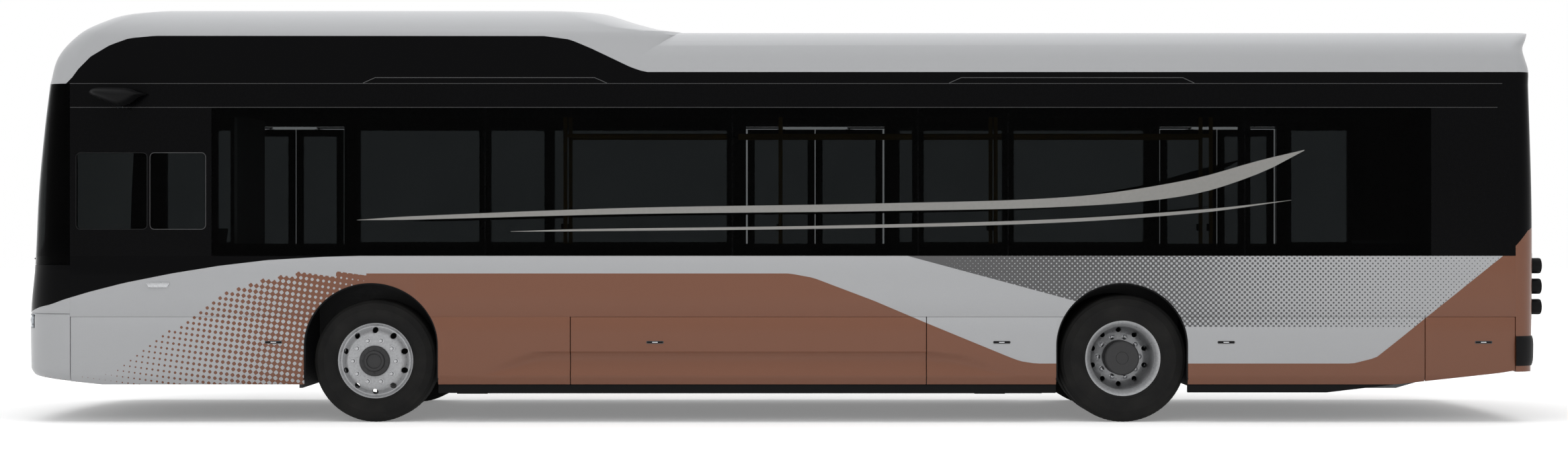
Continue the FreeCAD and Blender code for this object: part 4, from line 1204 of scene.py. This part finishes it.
@fitted("plastic_black")
def band_edge_highlights():
    """Fine raised edges above and below the cover band, and outlines of the ledges under the roof, in a grey
    that is a painted highlight of the light those edges catch.
    """
    z0, z1 = picture_z(123.5), picture_z(115.5)
    for side in sides:
        y0, y1 = across(side, half_width - 0.001, half_width + 0.0012)
        for z, x0, x1 in ((roof_seam - 0.001, picture_x(82), picture_x(2235)),
                          (band_bottom, picture_x(100), picture_x(2228))):
            yield slab((max(x0, nose_root_x), y0, z - 0.002), (min(x1, tail_root_x), y1, z + 0.002), "seam")
        for columns in ((540, 558, 885, 903), (1412, 1430, 1760, 1777)):
            points = [(picture_x(column), side * (half_width - 0.001), z)
                      for column, z in zip(columns, (z0, z1, z1, z0))]
            yield bar(points, 0.0035, "seam")


@fitted("steel_bright")
def driver_window_frame():
    """Thin frame of the driver's sliding pane and the rubber of the pane before it."""
    for c0, c1, finish, radius in ((223, 306, "seam", 0.003), (113, 219, "rubber", 0.004)):
        outline = rounded(picture_x(c0), picture_x(c1), picture_z(341), picture_z(227), 0.035)
        points = [(u, -half_width + 0.0015, v) for u, v in outline]
        yield bar(points + points[:2], radius, finish)


@fitted("steel_bright")
def side_indicators():
    """Small slanted lamp on each side of the nose."""
    x0, x1 = picture_x(217), picture_x(254)
    z0, z1 = picture_z(427.5), picture_z(420)
    outline = rounded_line([(x0 + 0.02, z0), (x1 - 0.03, z0), (x1, z1), (x0, z1)], 0.008)
    for side in sides:
        yield edged(plate(outline, 1, *across(side, half_width - 0.002, half_width + 0.006), "bright"))


# place along the bus, height of the middle and half thickness of each stripe
stripe_shapes = (((-3.3, 1.585, 0.001), (-2.9, 1.6, 0.013), (-1.2, 1.655, 0.024), (0.8, 1.685, 0.03),
                  (2.3, 1.73, 0.038), (3.2, 1.84, 0.06), (3.75, 2.0, 0.05), (4.1, 2.13, 0.003)),
                 ((-2.1, 1.495, 0.001), (-1.6, 1.505, 0.008), (0.4, 1.53, 0.012), (2.1, 1.575, 0.014),
                  (3.3, 1.655, 0.012), (4.0, 1.74, 0.001)))
stripe_steps = 60


@fitted("plastic_grey")
def glass_stripes():
    """Two plain tapered stripes of grey film on the side glass, nearly level and rising behind."""
    for side in sides:
        y0, y1 = across(side, half_width + 0.0001, half_width + 0.0006)
        for shape in stripe_shapes:
            rows = []
            for x in spread(shape[0][0], shape[-1][0], stripe_steps):
                z = eased([(place, middle) for place, middle, half in shape], x)
                half = max(0.0004, eased([(place, half) for place, middle, half in shape], x))
                rows.append([(x, y0, z - half), (x, y1, z - half), (x, y1, z + half), (x, y0, z + half)])
            yield grid(rows, "film", ring=True)


# Camera arms

pod_top = ((-5.375, 2.575), (-5.34, 2.605), (-5.2, 2.613), (-5.05, 2.605), (-4.985, 2.58), (-4.93, 2.57))
pod_bottom = ((-5.375, 2.57), (-5.33, 2.545), (-5.2, 2.495), (-5.12, 2.468), (-5.05, 2.49), (-4.985, 2.545),
              (-4.93, 2.562))
pod_reach = ((-5.375, 0.1), (-5.3, 0.2), (-5.1, 0.235), (-5, 0.17), (-4.93, 0.06))
pod_front = -5.355
pod_length = 0.405
pod_steps = 24


@fitted_twice("plastic_black", "camera_pods")
def camera_pod(side):
    """Leaf-shaped arm pointed to the front, flat above and full below, with a lens in its underside."""
    rows = []
    for x in spread(pod_front, pod_front + pod_length, pod_steps):
        top, low, out = [eased(line, x) for line in (pod_top, pod_bottom, pod_reach)]
        rows.append([(x, side * (half_width + 0.0005 + out * (0.5 + 0.5 * cos(turn))),
                      (top + low) / 2 + (top - low) / 2 * sin(turn)) for turn in turns(pod_steps)])
    yield edged(grid(rows, "trim", ring=True), 0, angle=50)
    eye = spun([(0, 0), (0.02, 0), (0.024, 0.004), (0.024, 0.014), (0, 0.014)], (0, 0, 0), "lamp_glass", 32)
    yield edged(moved(eye, -5.12, side * (half_width + 0.12), 2.466, -pi / 2, "X"), 0)


# Wheels

groove_middles = (-0.068, -0.024, 0.024, 0.068)
groove_depth = 0.011
# share of the way from bead to tread, share of half the tyre's width
sidewall_shares = ((0, 0.75), (0.04, 0.83), (0.1, 0.86), (0.13, 0.885), (0.15, 0.875), (0.24, 0.93),
                   (0.4, 0.985), (0.5, 1), (0.58, 0.995), (0.6, 1.003), (0.63, 0.985), (0.74, 0.955),
                   (0.84, 0.915), (0.86, 0.91), (0.875, 0.885), (0.93, 0.86), (0.97, 0.81), (0.992, 0.74))
block_count = 84
nut_profile = ((0, 0), (0.0225, 0), (0.0225, 0.006), (0.017, 0.008), (0.0165, 0.026), (0.0125, 0.033),
               (0.006, 0.036), (0, 0.037))
bolt_profile = ((0, 0), (0.007, 0), (0.007, 0.006), (0, 0.006))
nut_count = 10
bolt_count = 12
bead_seat = bead_radius - 0.0003
# radius, offset to the outside, of the part of a rim that carries the bead
rim_back = ((0.268, -0.085), (0.279, -0.1), (0.291, -0.115), (0.298, -0.112), (0.296, -0.106),
            (bead_seat, -0.105), (bead_seat, 0.105), (0.296, 0.106), (0.299, 0.112), (0.294, 0.116),
            (0.283, 0.108))
front_disc = (((0.204, 0.157), (0.119, 0.157), (0.119, 0.145), (0.198, 0.145), (0.208, 0.14), (0.234, 0.105),
               (0.25, 0.08), (0.26, 0.06), (0.26, -0.06), (0.27, -0.085)) + rim_back[1:]
              + ((0.273, 0.1), (0.264, 0.099), (0.246, 0.118), (0.216, 0.152)))
front_hub = ((0, 0.154), (0.05, 0.154), (0.05, 0.1), (0.118, 0.1), (0.118, 0.166), (0.112, 0.172),
             (0.084, 0.174), (0.078, 0.188), (0.07, 0.192), (0.06, 0.189), (0.055, 0.178), (0, 0.18))
rear_disc = (((0.19, -0.145), (0.137, -0.145), (0.12, -0.143), (0.12, -0.157), (0.185, -0.157),
              (0.218, -0.151), (0.243, -0.128), (0.252, -0.09), (0.258, -0.06)) + rim_back
             + ((0.272, 0.098), (0.262, 0.085), (0.25, 0.07), (0.246, 0.03), (0.243, -0.03), (0.24, -0.085),
                (0.232, -0.115), (0.212, -0.138)))
twin_disc = ((0.1, -0.175), (0.19, -0.175), (0.225, -0.205), (0.236, -0.25), (0.236, -0.36), (0.285, -0.425),
             (0.298, -0.429), (0.296, -0.42), (bead_seat, -0.419), (bead_seat, -0.209), (0.296, -0.208),
             (0.298, -0.199), (0.27, -0.2), (0.235, -0.185), (0.19, -0.158), (0.1, -0.158))
rear_cover = ((0, -0.157), (0.125, -0.157), (0.125, -0.1), (0.136, -0.09), (0.1365, 0.06), (0.134, 0.07),
              (0.124, 0.0775), (0.05, 0.0785), (0.046, 0.0745), (0, 0.0745))
rear_drum = ((0.062, -0.158), (0.14, -0.158), (0.16, -0.2), (0.16, -0.3), (0.062, -0.3))


def tyre_profile(radius):
    """Section with beads, ribbed sidewalls, shoulders and a grooved tread."""
    height = radius - bead_radius
    walls = [(bead_radius + height * up, tyre_half * out) for up, out in sidewall_shares]
    tread = []
    for middle in groove_middles:
        tread += [(radius, middle - 0.008), (radius - groove_depth, middle - 0.005),
                  (radius - groove_depth, middle + 0.005), (radius, middle + 0.008)]
    return walls + [(r - 0.0005, y) for r, y in reversed(tread)] + [(r, -y) for r, y in reversed(walls)]


def tyre(name, centre, radius):
    """Tyre with shoulder blocks round its tread, laid by a node tree."""
    whole = edged(spun(tyre_profile(radius), centre, "tyre"), 0)
    rows = []
    for way in sides:
        y0, y1 = across(way, 0.0765, 0.098)
        unit = edged(slab((-0.011, y0, radius - 0.012), (0.011, y1, radius - 0.0002), "tyre"), 0.0015, 1)
        rows.append(ringed(unit, block_count, "tyre", 0.03 * (way > 0)))
    blocks = edged(moved(joined("tread", rows), *centre), 0)
    return joined(name, [whole, blocks])


def turned(profile, centre, side, finish, steps=64):
    """Part of a wheel turned about the axle, its profile given for the right side."""
    return spun([(radius, side * offset) for radius, offset in profile], centre, finish, steps)


def fastener_ring(profile, steps, finish, circle_radius, count, start_turn, centre, side, offset):
    """Nuts or bolts round the axle, laid by a node tree."""
    unit = moved(spun(profile, (0, 0, 0), finish, steps), 0, 0, circle_radius)
    ring = ringed(edged(unit, 0, angle=30), count, finish, start_turn)
    if side < 0:
        ring.data.transform(Matrix.Diagonal((1, -1, 1, 1)))
        ring.data.flip_normals()
    return moved(ring, centre[0], centre[1] + side * offset, centre[2])


def holes(centre, side, circle_radius, radius, low, high):
    """Ten round cutters on a circle about the axle."""
    cutters = []
    for z, x in circle(circle_radius, 10, centre[2], centre[0]):
        cutters.append(plate(circle(radius, 20, x, z), 1,
                             *sorted((centre[1] + side * low, centre[1] + side * high)), "wheel"))
    return joined("holes", cutters)


def front_wheel(side):
    """Outward disc with hand holes near its rim, ten nuts and a dark drive hub in the middle."""
    centre = (front_axle_x, side * wheel_y, front_tyre_radius)
    rim = turned(front_disc, centre, side, "wheel", 96)
    rim = edged(carve(rim, [holes(centre, side, 0.241, 0.0235, 0.05, 0.2)]), 0.0012, angle=32)
    return [rim, edged(turned(front_hub, centre, side, "hub"), 0, angle=28),
            fastener_ring(nut_profile, 16, "bright", 0.1675, nut_count, pi / nut_count, centre, side, 0.1568),
            fastener_ring(bolt_profile, 6, "hub", 0.098, bolt_count, 0.0, centre, side, 0.172)]


def rear_wheel(side):
    """Twin wheels: the outer disc lies deep behind its rim, with a standing hub cover."""
    centre = (rear_axle_x, side * wheel_y, rear_tyre_radius)
    rim = turned(rear_disc, centre, side, "wheel", 96)
    rim = edged(carve(rim, [holes(centre, side, 0.215, 0.021, -0.2, -0.08)]), 0.0012, angle=32)
    twin = turned(twin_disc, centre, side, "wheel")
    twin = edged(carve(twin, [holes(centre, side, 0.215, 0.024, -0.25, -0.1)]), 0, angle=28)
    caps = [edged(turned(profile, centre, side, finish), 0, angle=28)
            for profile, finish in ((rear_cover, "hub"), (rear_drum, "cast"))]
    nuts = fastener_ring(nut_profile, 16, "bright", 0.166, nut_count, pi / nut_count, centre, side, -0.1452)
    return [rim, twin] + caps + [nuts]


for side in sides:
    name = side_names[side]
    body = "front_wheel_" + name
    mount(joined("wheel_front_" + name, front_wheel(side)), body, "wheel_silver", "rim_front_" + name)
    rubber = tyre("tyre_rubber_front_" + name, (front_axle_x, side * wheel_y, front_tyre_radius),
                  front_tyre_radius)
    mount(rubber, body, "tyre_rubber", "tyre_front_" + name)
    body = "rear_wheels_" + name
    mount(joined("wheel_rear_" + name, rear_wheel(side)), body, "wheel_silver", "rims_rear_" + name)
    rubber = [tyre("tyre", (rear_axle_x, side * y, rear_tyre_radius), rear_tyre_radius)
              for y in (wheel_y, wheel_y - twin_spacing)]
    mount(joined("tyre_rubber_rear_" + name, rubber), body, "tyre_rubber", "tyres_rear_" + name)


# Pieces made from copies of the solids

def softened(name, node, finish, width=0.003, angle=35, shape=None):
    """Own copy of a CAD node's mesh, its flats joined up or its form changed, and its edges eased."""
    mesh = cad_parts[node].data.copy()
    work = bmesh.new()
    work.from_mesh(mesh)
    bmesh.ops.remove_doubles(work, verts=work.verts, dist=0.00001)
    if shape:
        shape(work)
    else:
        bmesh.ops.dissolve_limit(work, angle_limit=radians(1), verts=work.verts, edges=work.edges)
    work.to_mesh(mesh)
    work.free()
    mesh.materials.clear()
    mesh.materials.append(finishes[finish])
    if mesh.attributes.get("custom_normal"):
        mesh.attributes.remove(mesh.attributes["custom_normal"])
    return edged(placed(name, mesh), width, angle=angle)


# Doors

stile = 0.062
rail_height = 1.12

for label, (low_x, high_x), (middle, leaf) in zip(("front", "middle", "rear"), door_spans, doors):
    for edge_x, way, which in ((low_x, 1, "a"), (high_x, -1, "b")):
        tag = label + "_" + which
        leaf_frame = softened("frame", "door_leaf_" + tag, "black_gloss", 0.004)
        x = edge_x + way * (leaf_trim + leaf - 0.003)
        seal = bar([(x, half_width - 0.02, z) for z in (0.38, 2.39)], 0.004, "rubber")
        ends = sorted((edge_x + way * (leaf_trim + stile), edge_x + way * (leaf_trim + leaf - stile)))
        grab = bar([(x, half_width - 0.022, rail_height) for x in ends], 0.011, "rail")
        mount(joined("door_frame_" + tag, [leaf_frame, seal, grab]), "door_" + tag, "paint_black",
              "door_leaf_" + tag)
        pane = softened("door_pane_" + tag, "door_glass_" + tag, "side_glass", 0.001)
        mount(pane, "door_" + tag, "glass_dark", "door_glass_" + tag)
        post = softened("door_post_" + tag, "door_column_" + tag, "steel", 0.001, 50)
        mount(post, "door_arm_" + tag, "steel_dark", "door_column_" + tag)


# Seats

seat_width = 0.43
seat_depth = 0.42
seat_height = 0.44
seat_back = 0.56
cushion = 0.06
lean = 1.5 * cushion
lean_turn = 0.139
pad_width = seat_width - 0.03
base_length = seat_depth - 0.05
back_length = seat_back - 0.02
shell_half = seat_width / 2 - 0.004
pan_thickness = 0.034
driver_y = -0.7
wall_y = half_width - wall - seat_width / 2 - cushion
aisle_y = wall_y - seat_width - gap
seat_places = [(x, -y, floor_top) for x in (-2.25, -1.5, -0.75) for y in (wall_y, aisle_y)]
seat_places += [(x, wall_y, floor_top) for x in (-1.9, -1.15)]
seat_places += [(x, -y, floor_top) for x in (3.45, 4.2) for y in (wall_y, aisle_y)]
seat_places.append((-5.0, driver_y, floor_top + 0.18))
# the pads' grid, how much of the thickness stands straight, how far the sides and the back face pull in
pad_steps = 14
edge_share = 0.35
pull_share = 0.985
back_share = 0.97
voxel = 0.0085
swell_frames = 20


def pad_form(length, thick, crown_height):
    """Crowned closed form of a cushion, lying on its back face, whose sides pull in between its corners."""
    count = pad_steps + 1
    points = []
    for u in spread(-1, 1, pad_steps):
        for v in spread(-1, 1, pad_steps):
            pull = pull_share + (1 - pull_share) * (u * v) ** 2
            rise = (1 - abs(u) ** 5) * (1 - abs(v) ** 5)
            height = thick * edge_share + rise * (thick * (1 - edge_share) + crown_height)
            points.append(Vector((v * length / 2 * pull, u * pad_width / 2 * pull, height)))
    low = [Vector((p.x * back_share, p.y * back_share, 0)) for p in points]
    faces = [(i * count + j, i * count + j + 1, (i + 1) * count + j + 1, (i + 1) * count + j)
             for i in range(pad_steps) for j in range(pad_steps)]
    back = [tuple(index + len(points) for index in reversed(face)) for face in faces]
    rim = (list(range(count)) + [i * count + pad_steps for i in range(1, count)]
           + [pad_steps * count + j for j in range(pad_steps - 1, -1, -1)]
           + [i * count for i in range(pad_steps - 1, 0, -1)])
    walls = [(a, b, b + len(points), a + len(points)) for a, b in zip(rim, rim[1:] + rim[:1])]
    return put(points + low, faces + back + walls, "cloth")


def puffed(pad, cap):
    """Swells a cushion by a short cloth simulation, and holds each point to a small move."""
    remesh = pad.modifiers.new("remesh", "REMESH")
    remesh.mode = "VOXEL"
    remesh.voxel_size = voxel
    settled(pad)
    start = [vertex.co.copy() for vertex in pad.data.vertices]
    cloth = pad.modifiers.new("cloth", "CLOTH")
    cloth.settings.use_pressure = True
    cloth.settings.uniform_pressure_force = 4
    cloth.settings.effector_weights.gravity = 0
    cloth.point_cache.frame_start = 1
    cloth.point_cache.frame_end = swell_frames
    for step in range(1, swell_frames + 1):
        bpy.context.scene.frame_set(step)
    settled(pad)
    for vertex, first in zip(pad.data.vertices, start):
        move = vertex.co - first
        if move.length > cap:
            vertex.co = first + move.normalized() * cap
    bpy.context.scene.frame_set(1)
    return edged(pad, 0, angle=60)


def piping(length, height):
    """Piping sewn round a cushion."""
    inset = 0.002
    half_length, half = length / 2 - inset, pad_width / 2 - inset
    points = [(u, v, height) for u, v in rounded(-half_length, half_length, -half, half, 0.035)]
    return bar(points + points[:2], 0.003, "rubber")


def set_out(name, units, places):
    """Copies of some pieces at each of many places, as one mesh on the bus."""
    twins = []
    for place in places:
        for unit in units:
            twin = placed("twin", unit.data.copy())
            twin.data.transform(place)
            twins.append(twin)
    for unit in units:
        bpy.data.objects.remove(unit)
    return joined(name, twins)


base_units = [puffed(pad_form(base_length, 0.03, 0.012), 0.008)]
back_units = [puffed(pad_form(back_length, 0.024, 0.008), 0.007)]
base_units.append(piping(base_length, 0.012))
back_units.append(piping(back_length, 0.01))
base_places = [Matrix.Translation((x + (seat_depth - 0.045) / 2, y, floor_z + seat_height - 0.036))
               for x, y, floor_z in seat_places]
back_places = [Matrix.Translation((x + seat_depth - 0.035 + lean / 2 - 0.012, y,
                                   floor_z + seat_height + seat_back / 2 - 0.02))
               @ Matrix.Rotation(-pi / 2 + lean_turn, 4, "Y") for x, y, floor_z in seat_places]
cushions = mount(set_out("seat_cushions", base_units, base_places), "bus_body", "cloth", "seats")
backs = mount(set_out("seat_backs", back_units, back_places), "bus_body", "cloth")


@fitted("plastic_grey")
def seat_shells():
    """Pans, back shells and feet of all the seats, and a grab bar on each passenger seat's back."""
    for x, y, floor_z in seat_places:
        low = floor_z + seat_height - cushion
        top = floor_z + seat_height
        rear = x + seat_depth
        yield edged(slab((x + 0.004, y - shell_half, low), (rear - 0.01, y + shell_half, top - pan_thickness),
                         "plastic"), 0.01, 3)
        outline = [(rear - 0.034, low), (rear - 0.002, low), (rear + lean - 0.002, top + seat_back),
                   (rear + lean - 0.03, top + seat_back)]
        yield edged(plate(outline, 1, y - shell_half, y + shell_half, "plastic"), 0.01, 3)
        middle = x + seat_depth / 2
        foot = rounded(middle - 0.03, middle + 0.03, y - cushion, y + cushion, 0.015)
        yield edged(plate(foot, 2, floor_z, low, "steel"))
        if floor_z == floor_top:
            grip = [(rear + lean - back, y + reach, top + seat_back + rise) for reach, back, rise in
                    ((-0.15, 0.02, -0.01), (-0.13, 0.016, 0.022), (0.13, 0.016, 0.022), (0.15, 0.02, -0.01))]
            yield bar(grip, 0.011, "rail", True)


# Cabin

pole_radius = 0.017
pole_start = -2.66
pole_pitch = (4.45 - pole_start) / 4
rail_y = half_width - wall - 2 * seat_width - 2 * cushion
rail_z = band_bottom - 3 * wall


@fitted("steel_bright", "handrails")
def cabin_rails():
    """Poles and ceiling rails with sockets at floor and ceiling, and call buttons on the poles."""
    for side in sides:
        y = side * rail_y
        for index in range(4):
            x = pole_start + pole_pitch * (index + 0.5)
            yield bar([(x, y, floor_top), (x, y, roof_seam)], pole_radius, "rail")
            for z in (floor_top, roof_seam - 0.02):
                yield edged(plate(circle(0.036, 24, x, y), 2, z, z + 0.02, "trim"), 0.004)
            if index > 0:
                yield bar([(x - pole_pitch + 0.016, y, rail_z), (x - 0.016, y, rail_z)], pole_radius, "rail")
            button = rounded(y - 0.02, y + 0.02, 1.5, 1.56, 0.008)
            yield edged(plate(button, 0, x - 0.034, x - 0.014, "trim"), 0.003)


dash_depth = 0.26
dash_top = floor_top + 0.76
dash_half = 0.93
dash_profile = ((-0.24, floor_top + 0.002), (0.13, floor_top + 0.002), (0.13, dash_top - 0.14),
                (0.07, dash_top - 0.03), (-0.02, dash_top), (-0.24, dash_top - 0.02))
hood_profile = ((-0.12, dash_top - 0.01), (0.1, dash_top - 0.08), (0.1, dash_top - 0.02),
                (0.04, dash_top + 0.06), (-0.1, dash_top + 0.07))
ring_radius = 0.225


@fitted("plastic_grey", "dashboard")
def dash_assembly():
    """Dashboard with a hooded blank instrument panel, the column and the steering wheel."""
    for profile, y, half, finish, ease in ((dash_profile, 0, dash_half, "plastic", 0.02),
                                           (hood_profile, driver_y, 0.2, "trim", 0.012)):
        outline = [(nose_root_x + u, v) for u, v in profile]
        yield edged(plate(outline, 1, y - half, y + half, finish), ease, 3)
    hub = Vector((nose_root_x + dash_depth, driver_y, dash_top + 0.064))
    axis = Vector((0.42, 0, 0.9)).normalized()
    ring = [(u, v, 0.016) for u, v in circle(ring_radius, 48)]
    parts = [bar(ring + ring[:1], 0.0145, "rubber")]
    spokes = [bar([(0.21 * cos(a), 0.21 * sin(a), 0.012), (0.05 * cos(a), 0.05 * sin(a), 0)], 0.012,
                  "plastic") for a in (0.25, pi - 0.25, -pi / 2)]
    parts.append(edged(plate(circle(0.06, 32), 2, -0.02, 0.018, "plastic"), 0.008, 3))
    steering = joined("steering", parts + spokes)
    turn = Vector((0, 0, 1)).rotation_difference(axis).to_matrix().to_4x4()
    steering.data.transform(Matrix.Translation(hub) @ turn)
    yield steering
    yield bar([hub - axis * 0.31, hub - axis * 0.01], 0.03, "plastic")


mount(softened("cab_wall", "cab_partition", "liner", 0.004), "bus_body", "plastic_grey", "cab_partition")


@fitted("plastic_black", "destination_display")
def display_case():
    """Display behind the top of the screen: a dark case with an unlit face and nothing on it."""
    low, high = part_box("destination_display")
    yield edged(slab(low, high, "trim"), 0.004)
    yield slab((low.x - 0.0015, low.y + 0.03, low.z + 0.03), (low.x + 0.002, high.y - 0.03, high.z - 0.03),
               "display")


# Underside

# places where the floor plate bends, its lowest and its thickness
floor_bends = (-5.9, -5.6, -5.3, -4.6, 4.6, 4.83, 5.046, 5.3, 5.624)
floor_low = 0.27
floor_clearance = 0.036
floor_thickness = 0.028
clearance_run = 0.02
battery_low = 0.205
drive_low = 0.42
pane_back = 0.0015
rear_pane_back = 0.0012


def bent_floor(work):
    """Raises the floor plate with the body's bottom edge at both ends."""
    for x in floor_bends:
        geometry = work.verts[:] + work.edges[:] + work.faces[:]
        bmesh.ops.bisect_plane(work, geom=geometry, plane_co=(x, 0, 0), plane_no=(1, 0, 0))
    for vertex in work.verts:
        rise = end_rise(vertex.co.x)
        share = 1 if vertex.co.x < front_arch - 0.4 else min(1.0, rise / clearance_run)
        low = floor_low + rise + floor_clearance * share
        vertex.co.z = low if vertex.co.z < skirt_bottom else max(floor_top, low + floor_thickness)


mount(softened("floor_plate", "floor_pan", "floor", 0, shape=bent_floor), "bus_body", "floor_grey",
      "floor_pan")
cases = softened("battery_cases", "battery_packs", "steel", 0.006)
for vertex in cases.data.vertices:
    vertex.co.z = max(vertex.co.z, battery_low if vertex.co.x < rear_axle_x else drive_low)
mount(cases, "bus_body", "steel_dark", "battery_packs")
# The panes' inner faces keep a hair clear of the posts behind them.
panes = softened("window_panes", "glazing", "side_glass", 0)
for vertex in panes.data.vertices:
    if vertex.co.x > tail_root_x + 0.1:
        vertex.co.x += rear_pane_back * (vertex.normal.x < 0)
    elif abs(vertex.co.y) < half_width - 0.002:
        vertex.co.y += pane_back if vertex.co.y > 0 else -pane_back
mount(panes, "bus_body", "glass_dark", "glazing")


# CAD pieces that stay, in better finishes

kept = {"side_frame_left": "black_gloss", "side_frame_right": "black_gloss", "wheel_boxes": "steel",
        "front_axle": "cast", "rear_axle": "cast", "knuckle_left": "cast", "knuckle_right": "cast"}
for node, finish in kept.items():
    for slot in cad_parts[node].material_slots:
        slot.link = "OBJECT"
        slot.material = finishes[finish]
